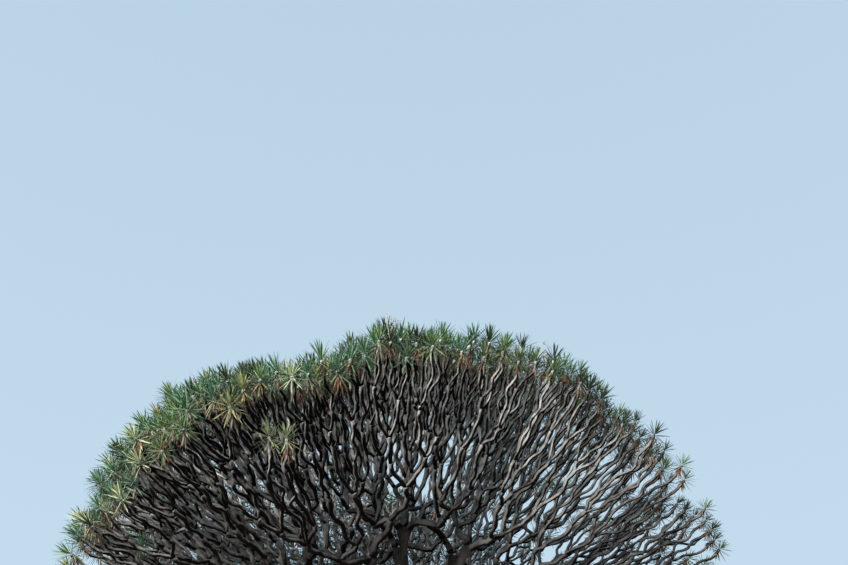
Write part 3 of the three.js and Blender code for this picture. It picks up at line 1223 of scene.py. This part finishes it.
@dataclass
class TrunkAndBoughs:
    """The fluted trunk, a collar for each bough, and the boughs up to their forked ends, as one skin.

    Attributes:
        rings: The trunk's rings from the foot up: height, radius, and how deep the toes are as a share of it.
        sides: How many sides the trunk's blank has.
        toes, toe_sway: How many main toes there are, and how unevenly they stand.
        minor_toes, minor_turn, minor: How many lesser ones there are, how far turned, and how deep.
        toe_share: The share of the toes' depth that is kept.
        collar, collar_height, collar_reach: The radius of a bough's foot, and where it stands in the trunk.
        collar_tip, knob: A bough's radius at the trunk's head and at its forked end.
        bough_tip, facet: The radius of a stub at its root and at its end.
        handle: How far a bough keeps its way at a station, as a share of the gap to the next.
        round_steps, length_steps: How finely a rod is divided round and along.
        voxel, soften, soften_rounds: How fine the skin is, and how it is smoothed.
        ropes, lumps, lump_scale: How deep the bark's ropes and lumps are, and how close the lumps.
        rope_level: The value of the pattern at which a rope neither stands out nor sinks in.
        trunk_ends: The heights between which the trunk's ropes give way to the boughs'.
        trunk_ropes, bough_ropes: How close the ropes stand round it, and how fast they change along it.
        bough_rope_share, bough_relief: How deep a bough's ropes and all its relief are beside the trunk's.
        foot_relief, foot_fade: The share of the relief that is left at the ground, and how high that reaches.
    """

    skeleton: Skeleton
    name: str = "trunk_and_boughs"
    rings: tuple[Triple, ...] = (
        (-0.3, 3.15, 0.16),
        (0.0, 3.05, 0.16),
        (0.26, 2.80, 0.15),
        (0.80, 2.43, 0.12),
        (1.70, 2.16, 0.08),
        (2.90, 2.02, 0.06),
        (4.00, 1.98, 0.05),
        (4.80, 1.78, 0.04),
        (5.45, 1.10, 0.03),
        (5.70, 0.30, 0.0),
    )
    sides: int = 96
    toes: int = 9
    toe_sway: float = 1.3
    minor_toes: int = 5
    minor_turn: float = 1.0
    minor: float = 0.4
    toe_share: float = 0.7
    collar: float = 0.58
    collar_tip: float = 0.20
    collar_height: float = 3.0
    collar_reach: float = 1.21
    bough_tip: float = 0.125
    knob: float = 0.135
    facet: float = 0.12
    handle: float = 0.4
    round_steps: int = 5
    length_steps: int = 10
    voxel: float = 0.066
    soften: float = 0.6
    soften_rounds: int = 8
    ropes: float = 0.075
    rope_level: float = 0.35
    lumps: float = 0.03
    lump_scale: float = 2.7
    trunk_ends: Span = (4.2, 5.6)
    trunk_ropes: Span = (5.2, 0.42)
    bough_ropes: Span = (13.0, 0.4)
    bough_rope_share: float = 0.45
    bough_relief: float = 0.35
    foot_relief: float = 0.4
    foot_fade: float = 0.4

    def toe(self, around: float, height: float) -> float:
        """How far the trunk stands out at a place.

        Args:
            around: The angle round the trunk.
            height: The height.

        Returns:
            The radius there, as a share of the ring's.
        """
        heights, _, depths = zip(*self.rings)
        depth = float(np.interp(height, heights, depths)) * self.toe_share
        major = math.cos(self.toes * around + self.toe_sway * math.sin(2 * around))
        return 1 + depth * (major + self.minor * math.cos(self.minor_toes * around + self.minor_turn))

    def trunk(self) -> bpy.types.Object:
        """The trunk's blank: a disc that is extruded and resized ring by ring, then pushed out into toes.

        Returns:
            The blank.
        """
        bpy.ops.object.select_all(action="DESELECT")
        (foot, radius, _), *others = self.rings
        bpy.ops.mesh.primitive_circle_add(
            vertices=self.sides, radius=radius, fill_type="NGON", location=(0, 0, foot))
        blank = bpy.context.object
        bpy.ops.object.mode_set(mode="EDIT")
        bpy.ops.mesh.select_all(action="SELECT")
        for height, wide, _ in others:
            bpy.ops.mesh.extrude_region_move(TRANSFORM_OT_translate={"value": (0, 0, height - foot)})
            bpy.ops.transform.resize(value=(wide / radius, wide / radius, 1))
            foot, radius = height, wide
        bpy.ops.mesh.select_all(action="SELECT")
        bpy.ops.mesh.normals_make_consistent(inside=False)
        bpy.ops.object.mode_set(mode="OBJECT")
        bpy.ops.object.transform_apply(location=True, rotation=True, scale=True)
        for vertex in blank.data.vertices:
            share = self.toe(math.atan2(vertex.co.y, vertex.co.x), vertex.co.z)
            vertex.co.x *= share
            vertex.co.y *= share
        return blank

    def rods(self) -> bpy.types.Object:
        """The collars, boughs and the stubs at their forked ends, as thick curves turned into one mesh.

        Returns:
            That mesh's object.
        """
        crown, growth = self.skeleton.crown, self.skeleton.growth
        bpy.ops.curve.primitive_bezier_curve_add(location=(0, 0, 0))
        rods = bpy.context.object
        rods.data.splines.clear()
        rods.data.bevel_depth = 1.0
        rods.data.bevel_resolution = self.round_steps
        rods.data.resolution_u = self.length_steps
        rods.data.use_fill_caps = True
        for bough in self.skeleton.boughs:
            flat = unit(bough.direction * (1 - UP)) * np.hypot(*bough.direction[:2])
            foot = flat * self.collar_reach + UP * self.collar_height
            head = crown.place(bough.direction, growth.head_radius)
            knob = crown.place(bough.direction, growth.knob_radius)
            self.rod(rods, [
                (foot, UP, self.collar),
                (head, crown.course(bough.direction, growth.head_radius), self.collar_tip),
                (knob, crown.course(bough.direction, growth.knob_radius), self.knob),
            ])
            for mass in bough.masses:
                self.rod(rods, [(knob, mass.heading, self.bough_tip), (mass.start, mass.heading, self.facet)])
        bpy.ops.object.convert(target="MESH")
        return bpy.context.object

    def rod(self, curve: bpy.types.Object, stations: list[tuple[Array, Array, float]]) -> None:
        """Adds one thick line to a curve.

        Args:
            curve: The curve's object.
            stations: Points of the line, the way it runs there, and its radius there.
        """
        spline = curve.data.splines.new("BEZIER")
        spline.bezier_points.add(len(stations) - 1)
        places = np.array([place for place, _, _ in stations])
        gaps = np.linalg.norm(np.diff(places, axis=0), axis=1) * self.handle
        befores = [gaps[0], *gaps]
        afters = [*gaps, gaps[-1]]
        parts = zip(spline.bezier_points, stations, befores, afters)
        for point, (place, run, radius), before, after in parts:
            point.co = place
            point.handle_left_type = point.handle_right_type = "FREE"
            point.handle_left = place - run * before
            point.handle_right = place + run * after
            point.radius = radius

    def relief(self, piece: bpy.types.Object) -> None:
        """Pushes the skin in and out: ropes that follow the trunk and boughs, and lumps.

        Args:
            piece: The joined piece.
        """
        mesh = piece.data
        count = len(mesh.vertices)
        points, normals = np.empty(3 * count, np.float32), np.empty(3 * count, np.float32)
        mesh.vertices.foreach_get("co", points)
        mesh.vertices.foreach_get("normal", normals)
        points, normals = points.reshape(-1, 3).astype(float), normals.reshape(-1, 3)
        hub = self.skeleton.crown.hub * UP
        heights = np.array([self.height_at(point, hub) for point in points])
        fade = ease(0.0, self.foot_fade, points[:, 2])
        heights = heights * (self.foot_relief + (1 - self.foot_relief) * fade)
        moved = points + normals * heights[:, None]
        mesh.vertices.foreach_set("co", moved.astype(np.float32).ravel())
        mesh.update()

    def height_at(self, point: Array, hub: Array) -> float:
        """How far the bark stands out at a point.

        Args:
            point: The point on the smooth skin.
            hub: The crown's hub.

        Returns:
            The height of the relief.
        """
        low = 1 - float(ease(*self.trunk_ends, point[2]))
        close, along = self.trunk_ropes
        trunk_rope = abs(noise.noise(Vector((*(unit(point[:2]) * close), point[2] * along))))
        close, along = self.bough_ropes
        out = point - hub
        distance = float(np.linalg.norm(out))
        bough_rope = abs(noise.noise(Vector(out / distance * close) + Vector((0, 0, distance * along))))
        rope = low * trunk_rope + (1 - low) * self.bough_rope_share * bough_rope
        lump = noise.noise(Vector(point * self.lump_scale))
        height = self.ropes * (self.rope_level - rope) + self.lumps * lump
        return height * (self.bough_relief + (1 - self.bough_relief) * low)

    def build(self) -> None:
        """Joins the blanks, gives them one skin, shapes its relief and cuts it flat at the ground."""
        trunk = self.trunk()
        rods = self.rods()
        bpy.ops.object.select_all(action="DESELECT")
        trunk.select_set(True)
        rods.select_set(True)
        bpy.context.view_layer.objects.active = trunk
        bpy.ops.object.join()
        remesh = trunk.modifiers.new("skin", "REMESH")
        remesh.mode = "VOXEL"
        remesh.voxel_size = self.voxel
        smooth = trunk.modifiers.new("soften", "SMOOTH")
        smooth.factor = self.soften
        smooth.iterations = self.soften_rounds
        for modifier in (remesh, smooth):
            bpy.ops.object.modifier_apply(modifier=modifier.name)
        self.relief(trunk)
        bpy.ops.object.mode_set(mode="EDIT")
        bpy.ops.mesh.select_all(action="SELECT")
        bpy.ops.mesh.bisect(plane_co=(0, 0, 0), plane_no=(0, 0, 1), clear_inner=True, use_fill=True)
        bpy.ops.object.mode_set(mode="OBJECT")
        bpy.ops.object.shade_smooth()
        trunk.name = trunk.data.name = self.name
        trunk.data.materials.clear()
        trunk.data.materials.append(TrunkBark().build())
        boughs = [f"bough_{b + 1:02d}" for b in range(len(self.skeleton.boughs))]
        hand_over(trunk, ["trunk", *boughs])


@dataclass
class Limbs:
    """The limbs and twigs of the masses, in a few pieces of alike size.

    Attributes:
        pieces: How many pieces there are.
        sides, twig_sides: How many sides a limb's and a twig's section has.
    """

    skeleton: Skeleton
    pieces: int = 4
    sides: int = 8
    twig_sides: int = 6

    def build(self) -> None:
        """Deals the boughs out to the pieces in turn, and makes each piece from their masses."""
        bark = LimbBark().build()
        for part in range(self.pieces):
            skin = Skin()
            masses = [mass for bough in self.skeleton.boughs[part :: self.pieces] for mass in bough.masses]
            for limb in [limb for mass in masses for limb in mass.limbs]:
                sides = self.twig_sides if limb.tips == 1 else self.sides
                skin.tube(limb.line, limb.radii, sides, limb.shade(self.skeleton.crown))
            piece = skin.build(f"limbs_{part + 1}", bark, True)
            hand_over(piece, [mass.node for mass in masses])


class Dealt(Enum):
    """A choice of leaf colours, each with its piece and the share of the rosettes up to which it is dealt."""

    def __init__(self, piece: str, colour: Colour, up_to: float) -> None:
        """Names the parts of the value.

        Args:
            piece: The piece's name.
            colour: The leaves' colour.
            up_to: The share up to which it is dealt.
        """
        self.piece = piece
        self.colour = colour
        self.up_to = up_to

    @classmethod
    def at(cls, share: float) -> "Dealt":
        """The colour that a share from 0 to 1 is dealt."""
        return next(tint for tint in cls if share <= tint.up_to)


class Tint(Dealt):
    """The colours that the rosettes come in."""

    # Dark green, dealt by chance and, towards the right, as painted shade.
    DARK = ("leaves_dark", (0.032, 0.050, 0.029), 0.26)
    GREEN = ("leaves_green", (0.092, 0.155, 0.058), 0.54)
    BLUE = ("leaves_blue_green", (0.085, 0.178, 0.102), 0.82)
    OLIVE = ("leaves_olive", (0.205, 0.220, 0.095), 0.92)
    PALE = ("leaves_pale", (0.350, 0.390, 0.225), 1.01)


class DryTint(Dealt):
    """The colours of the dead leaves under the rosettes."""

    RUSTY = ("leaves_rusty", (0.265, 0.155, 0.098), 0.42)
    GREY = ("leaves_withered", (0.210, 0.170, 0.130), 1.01)


@dataclass(frozen=True)
class BladeForm:
    """A leaf's outline: half widths at one or two shares of its length, and a crease at the first."""

    stations: tuple[Span, ...] = ((0.34, 1.0), (0.77, 0.76))
    crease: float = 0.35

    def faces(self) -> Array:
        """A blade's faces. Its points are its foot, three at the first station, two at the next and its tip.

        Returns:
            Three corners a row.
        """
        triangles = [(0, 3, 2), (0, 2, 1)]
        if len(self.stations) == 1:
            triangles += [(2, 3, 4), (1, 2, 4)]
        else:
            triangles += [(1, 2, 4), (2, 5, 4), (2, 3, 5), (4, 5, 6)]
        return np.array(triangles)

    def points(self, foot: Array, along: Array, top: Array, length: Array, width: Array,
               droop: Array) -> Array:
        """Points of many blades at once.

        Args:
            foot: Where each grows from.
            along: The way each points.
            top: The way its upper face looks.
            length: Its length.
            width: Its half width.
            droop: How far its tip hangs down, as a share of its length.

        Returns:
            The points, one row of points a blade.
        """
        right = np.cross(along, top)
        rows = [foot]
        for share, wide in self.stations:
            middle = foot + (along * share - UP * (droop * share**2)[:, None]) * length[:, None]
            half = right * (width * wide)[:, None]
            creased = [middle - top * (width * wide * self.crease)[:, None]] if len(rows) == 1 else []
            rows += [middle - half, *creased, middle + half]
        rows.append(foot + (along - UP * droop[:, None]) * length[:, None])
        return np.stack(rows, axis=1)

    def skin(self, kept: Array, **blades: Array) -> Skin:
        """Makes blades of this form.

        Args:
            kept: Which of the blades are made, one row a rosette.
            blades: What the method points is told of each blade, in the same rows.

        Returns:
            A skin of them all.
        """
        points = self.points(**{name: values[kept] for name, values in blades.items()})
        count, corners = points.shape[:2]
        starts = (np.arange(count) * corners)[:, None, None]
        skin = Skin()
        skin.add(points.reshape(-1, 3), [(starts + self.faces()[None]).reshape(-1, 3)])
        return skin


@dataclass
class Fan:
    """The blades of some rosettes, one row a rosette, before they have a form.

    Attributes:
        places, axes, sizes: Where each rosette is, the way it points, and its size.
        outs: The way each blade stands out from the axis.
        shares: How far down the rosette each blade is, from 0 to 1.
        draw: The numbers that more can be drawn from.
    """

    places: Array
    axes: Array
    sizes: Array
    outs: Array
    shares: Array
    draw: np.random.Generator

    def ways(self, polar: Array) -> dict[str, Array]:
        """The way each blade points and the way its upper face looks.

        Args:
            polar: Each blade's angle from the axis.

        Returns:
            The two, named as for the blades' form.
        """
        polar = polar[..., None]
        along = self.axes * np.cos(polar) + self.outs * np.sin(polar)
        return {"along": along, "top": self.axes * np.sin(polar) - self.outs * np.cos(polar)}


@dataclass
class Foliage:
    """The rosettes: living leaves in a half-round spray on each tip, and a skirt of dry ones that hang below.

    Attributes:
        leaves, length, half_width, form: How many living leaves a rosette has, their size and their outline.
        steepest, lowest, crowding: The angles of the first and last leaf from the axis, and how they crowd.
        head, head_top: How long the twig's leafy end is, and the share of it that is beyond the tip.
        axis_jitter, turn_jitter, polar_jitter: How far rosettes and leaves stray from their even angles.
        sizes, lengths: How rosettes, and leaves in one rosette, vary in size.
        shortest, swelling: How long the shortest leaves are, and how much longer those halfway down.
        droop, droop_gain, droops: How far leaves droop at least, how much more the last, and how that varies.
        dry, dry_length, dry_half_width: How many dead leaves a rosette has at most, and their size.
        dry_steepest, dry_turn: The angle of the first dead leaf, and how far the last is turned on from it.
        dry_top, dry_depth: How far below the tip they start, and over what length they hang.
        dry_lengths, dry_kept: How they vary in length, and what share of them a rosette keeps.
        dry_droop, dry_droop_gain: How far they droop at least, and how much more at most.
        dry_form, dry_roughness, dry_spread, dry_seed: Their outline, finish and first seed.
        lee: Painted shade: how the rosettes' tints darken to the right, away from the light.
        patch, patch_share, chance_share: Colour patches to a metre, and how much they and chance count.
        contrast: How far the dealt shares are spread.
    """

    skeleton: Skeleton
    leaves: int = 42
    length: float = 0.57
    half_width: float = 0.018
    steepest: float = math.radians(5)
    lowest: float = math.radians(122)
    crowding: float = 0.85
    head: float = 0.13
    head_top: float = 0.55
    axis_jitter: float = 0.09
    turn_jitter: float = 0.12
    polar_jitter: float = 0.06
    sizes: Span = (0.86, 1.12)
    lengths: Span = (0.9, 1.08)
    shortest: float = 0.86
    swelling: float = 0.16
    droop: float = 0.03
    droop_gain: float = 0.16
    droops: Span = (0.3, 1.2)
    form: BladeForm = BladeForm()
    dry: int = 24
    dry_length: float = 0.32
    dry_half_width: float = 0.025
    dry_steepest: float = math.radians(106)
    dry_turn: float = math.radians(44)
    dry_top: float = 0.02
    dry_depth: float = 0.16
    dry_lengths: Span = (0.6, 1.15)
    dry_kept: Span = (0.1, 1.0)
    dry_droop: float = 0.25
    dry_droop_gain: float = 0.35
    dry_form: BladeForm = BladeForm(stations=((0.5, 1.0),))
    dry_roughness: float = 0.8
    dry_spread: float = 0.5
    dry_seed: int = 11
    lee: Shading = Shading(axis=0, kept=0.52, start=2.0, full=8.0)
    patch: float = 0.30
    patch_share: float = 0.45
    chance_share: float = 0.55
    contrast: float = 1.7

    def tint(self, tip: Tip) -> Dealt:
        """The colour of one rosette: alike in patches of the crown, mixed in them, and darker to the right as
        painted shade.

        Args:
            tip: The rosette's tip.

        Returns:
            Its colour.
        """
        if tip.pale:
            return Tint.PALE
        cloud = 0.5 + 0.5 * noise.noise(Vector(tip.place * self.patch))
        share = self.patch_share * cloud + self.chance_share * chance(tip.number, Deal.TINT)
        # Painted shade: darker tints are dealt to the rosettes on the right, away from the light.
        kept = float(self.lee.at(tip.place[None])[0])
        return Tint.at(min(1.0, max(0.0, (share - 0.5) * self.contrast + kept - 0.5)))

    def dry_tint(self, tip: Tip) -> Dealt:
        """The colour of the dead leaves under one rosette."""
        return DryTint.at(chance(tip.number, Deal.DRY_TINT))

    def fan(self, tips: list[Tip], count: int, seed: int) -> Fan:
        """Spreads blades round some tips, at golden angles and a little astray.

        Args:
            tips: The tips.
            count: How many blades each has.
            seed: The seed of all that is drawn for them.

        Returns:
            The blades, one row a tip.
        """
        draw = np.random.default_rng(seed)
        places = np.array([tip.place for tip in tips])[:, None]
        axes = np.array([tip.axis for tip in tips])
        axes = unit(axes + draw.normal(0, self.axis_jitter, axes.shape))[:, None]
        first = across(axes)
        second = np.cross(axes, first)
        shares = (np.arange(count)[None] + draw.random((len(tips), count))) / count
        around = np.arange(count)[None] * GOLDEN_ANGLE + draw.uniform(0, math.tau, (len(tips), 1))
        around = (around + draw.normal(0, self.turn_jitter, shares.shape))[..., None]
        outs = first * np.cos(around) + second * np.sin(around)
        return Fan(places, axes, np.array([[tip.size] for tip in tips]), outs, shares, draw)

    def green(self, tips: list[Tip], seed: int) -> Skin:
        """The living leaves of some rosettes.

        Args:
            tips: The rosettes' tips.
            seed: The seed of all that is drawn for them.

        Returns:
            A skin of all leaves.
        """
        fan = self.fan(tips, self.leaves, seed)
        share, draw = fan.shares, fan.draw
        polar = self.steepest + (self.lowest - self.steepest) * share**self.crowding
        polar = polar + draw.normal(0, self.polar_jitter, share.shape)
        size = draw.uniform(*self.sizes, (len(tips), 1)) * fan.sizes
        swell = self.shortest + self.swelling * np.sin(math.pi * share)
        return self.form.skin(
            np.full(share.shape, True),
            foot=fan.places + fan.axes * (self.head * (self.head_top - share))[..., None],
            length=self.length * size * swell * draw.uniform(*self.lengths, share.shape),
            width=self.half_width * size * np.ones_like(share),
            droop=self.droop + self.droop_gain * share * draw.uniform(*self.droops, share.shape),
            **fan.ways(polar),
        )

    def skirt(self, tips: list[Tip], seed: int) -> Skin:
        """The dead leaves under some rosettes, more under some than under others.

        Args:
            tips: The rosettes' tips.
            seed: The seed of all that is drawn for them.

        Returns:
            A skin of all dead leaves.
        """
        fan = self.fan(tips, self.dry, seed)
        share, draw = fan.shares, fan.draw
        length = self.dry_length * draw.uniform(*self.dry_lengths, share.shape) * fan.sizes
        kept = draw.random(share.shape) < draw.uniform(*self.dry_kept, (len(tips), 1))
        return self.dry_form.skin(
            kept,
            foot=fan.places - fan.axes * (self.dry_top + self.dry_depth * share)[..., None],
            length=length,
            width=np.full(share.shape, self.dry_half_width),
            droop=self.dry_droop + self.dry_droop_gain * draw.random(share.shape),
            **fan.ways(self.dry_steepest + self.dry_turn * share),
        )

    def build(self) -> None:
        """Makes a piece of living leaves for each colour, and then one of dead leaves for each of theirs."""
        tips, nodes = self.skeleton.tips, self.skeleton.nodes
        log.info("%d tips", len(tips))
        for seed, tint in enumerate(Tint):
            chosen = [tip for tip in tips if self.tint(tip) is tint]
            log.info("%s: %d rosettes", tint.piece, len(chosen))
            finish = LeafFinish(tint.piece, tint.colour).build()
            hand_over(self.green(chosen, seed).build(tint.piece, finish, False), nodes)
        for seed, tint in enumerate(DryTint, self.dry_seed):
            chosen = [tip for tip in tips if self.dry_tint(tip) is tint]
            finish = LeafFinish(tint.piece, tint.colour, self.dry_roughness, self.dry_spread).build()
            hand_over(self.skirt(chosen, seed).build(tint.piece, finish, False), nodes)


@dataclass(frozen=True)
class FlowerStalks:
    """Last year's bare flower stalks on a few rosettes: a thin stem with curling side stems.

    Attributes:
        share, heights: The share of the tips that have one, and between which heights.
        length, radius, lean, bend: The stem's size, and how far it leans and bends at random.
        taper: How much thinner a stem is at its end.
        side_stems, side_length, side_radius: Their number, their length, and their radius beside the stem's.
        side_from, side_lengths: From where on the stem they leave, and how their lengths vary.
        side_along, side_bend, side_sag: How far they point along the stem, bend at random, and hang.
        steps, sides: How many steps and sides a stem has.
    """

    skeleton: Skeleton
    name: str = "flower_stalks"
    colour: Colour = (0.42, 0.38, 0.31)
    roughness: float = 0.8
    share: float = 0.08
    heights: Span = (11.5, 14.75)
    length: float = 0.62
    radius: float = 0.013
    lean: float = 0.5
    bend: float = 0.15
    taper: float = 0.5
    side_stems: int = 9
    side_length: float = 0.34
    side_lengths: Span = (0.5, 1.1)
    side_radius: float = 0.6
    side_from: float = 0.45
    side_along: float = 0.6
    side_bend: float = 0.25
    side_sag: float = 0.35
    steps: int = 4
    sides: int = 3

    def stem(self, skin: Skin, start: Array, way: Array, length: float, curl: Array, radius: float) -> Array:
        """Adds one thin stem that curls over.

        Args:
            skin: The skin to add it to.
            start: Where it starts.
            way: The way it starts.
            length: Its length.
            curl: How far its end is moved, as a share of its length.
            radius: Its radius at its root.

        Returns:
            Its middle line.
        """
        t = np.linspace(0, 1, self.steps + 1)[:, None]
        line = start + (way * t + curl * t * t) * length
        skin.tube(line, radius * (1 - self.taper * t[:, 0]), self.sides, np.ones(len(t)))
        return line

    def stalk(self, skin: Skin, tip: Tip) -> None:
        """Adds the stalk of one tip.

        Args:
            skin: The skin to add it to.
            tip: The tip.
        """
        draw = np.random.default_rng([tip.number, int(Deal.STALK)])
        way = unit(tip.axis + draw.normal(0, self.lean, 3))
        line = self.stem(skin, tip.place, way, self.length, draw.normal(0, self.bend, 3), self.radius)
        for _ in range(self.side_stems):
            at = draw.uniform(self.side_from, 1.0) * self.steps
            whole = min(int(at), self.steps - 1)
            start = line[whole] + (line[whole + 1] - line[whole]) * (at - whole)
            out = unit(draw.normal(0, 1, 3) + way * self.side_along)
            curl = draw.normal(0, self.side_bend, 3) - UP * self.side_sag
            length = self.side_length * draw.uniform(*self.side_lengths)
            self.stem(skin, start, out, length, curl, self.side_radius * self.radius)

    def build(self) -> None:
        """Makes all stalks, on tips that are dealt one, as one piece."""
        skin = Skin()
        lowest, highest = self.heights
        for tip in self.skeleton.tips:
            if chance(tip.number, Deal.STALK) <= self.share and lowest < tip.place[2] < highest:
                self.stalk(skin, tip)
        finish = LeafFinish(self.name, self.colour, self.roughness).build()
        hand_over(skin.build(self.name, finish, True), self.skeleton.nodes)


@dataclass(frozen=True)
class Studio:
    """The plain pale floor, the soft light and the camera.

    Attributes:
        floor_radius, floor_sides, floor_gap: The floor's size, and how far below the trunk's foot it lies.
        floor, floor_roughness: Its finish.
        horizon, zenith, world: The sky's colours and its strength.
        suns: Each sun's name, its strength and the way to it.
        sun_colour, sun_angle, sun_height: What the suns share.
        eye, pitch, yaw: The camera's place and turns.
        focal_px, frame_px, clip: Its focal length and the frame's width in pixels, and how far it sees.
    """

    floor_radius: float = 160.0
    floor_sides: int = 128
    floor_gap: float = 0.01
    floor: Colour = (0.25, 0.25, 0.25)
    floor_roughness: float = 0.95
    horizon: Colour = (0.56, 0.74, 0.87)
    zenith: Colour = (0.47, 0.63, 0.77)
    world: float = 1.0
    suns: tuple[tuple[str, float, Triple], ...] = (
        ("key", 4.6, (-0.5, -0.55, 0.67)),
        ("low", 3.5, (-0.42, -0.88, 0.24)),
    )
    sun_colour: Colour = (1.0, 0.93, 0.85)
    sun_angle: float = math.radians(9)
    sun_height: float = 40.0
    eye: Triple = (0.0, -26.0, 1.6)
    pitch: float = math.radians(34.7)
    yaw: float = math.radians(1.6)
    focal_px: float = 781.0
    frame_px: float = 848.0
    clip: float = 1000.0

    def build(self) -> None:
        """Makes the floor, the sky, the suns and the camera."""
        self.make_floor()
        self.make_sky()
        self.make_suns()
        self.make_camera()

    def make_floor(self) -> None:
        """A pale disc just below the trunk's foot."""
        bpy.ops.mesh.primitive_circle_add(
            vertices=self.floor_sides, radius=self.floor_radius, fill_type="NGON",
            location=(0, 0, -self.floor_gap))
        floor = bpy.context.object
        floor.name = "floor"
        g = Graph("floor")
        g.set(base_color=self.floor, roughness=self.floor_roughness)
        floor.data.materials.append(g.material)

    def make_sky(self) -> None:
        """A pale sky that is brighter near the horizon."""
        bpy.context.scene.view_settings.view_transform = "Standard"
        world = bpy.data.worlds.new("sky")
        bpy.context.scene.world = world
        world.use_nodes = True
        nodes, links = world.node_tree.nodes, world.node_tree.links
        back = nodes["Background"]
        where = nodes.new("ShaderNodeTexCoord")
        split = nodes.new("ShaderNodeSeparateXYZ")
        ramp = nodes.new("ShaderNodeValToRGB")
        ramp.color_ramp.elements[0].color = (*self.horizon, 1)
        ramp.color_ramp.elements[1].color = (*self.zenith, 1)
        links.new(where.outputs["Generated"], split.inputs[0])
        links.new(split.outputs[2], ramp.inputs[0])
        links.new(ramp.outputs[0], back.inputs["Color"])
        back.inputs["Strength"].default_value = self.world

    def make_suns(self) -> None:
        """Soft suns, a high one and a low one."""
        for name, energy, direction in self.suns:
            bpy.ops.object.light_add(type="SUN", location=(0, 0, self.sun_height))
            sun = bpy.context.object
            sun.name = name
            sun.data.energy = energy
            sun.data.color = self.sun_colour
            sun.data.angle = self.sun_angle
            sun.rotation_euler = Vector(direction).to_track_quat("Z", "Y").to_euler()

    def make_camera(self) -> None:
        """A camera where the tree was seen from: low, close and tilted up."""
        data = bpy.data.cameras.new("camera")
        camera = bpy.data.objects.new("camera", data)
        bpy.context.scene.collection.objects.link(camera)
        data.lens = data.sensor_width * self.focal_px / self.frame_px
        data.clip_end = self.clip
        camera.location = self.eye
        camera.rotation_euler = (math.pi / 2 + self.pitch, 0, -self.yaw)
        bpy.context.scene.camera = camera


def main() -> None:
    """Builds the tree and its surroundings."""
    logging.basicConfig(level=logging.INFO, format="%(message)s")
    skeleton = Skeleton(Crown(), Growth())
    TrunkAndBoughs(skeleton).build()
    Limbs(skeleton).build()
    Foliage(skeleton).build()
    FlowerStalks(skeleton).build()
    Studio().build()


if __name__ == "__main__":
    main()
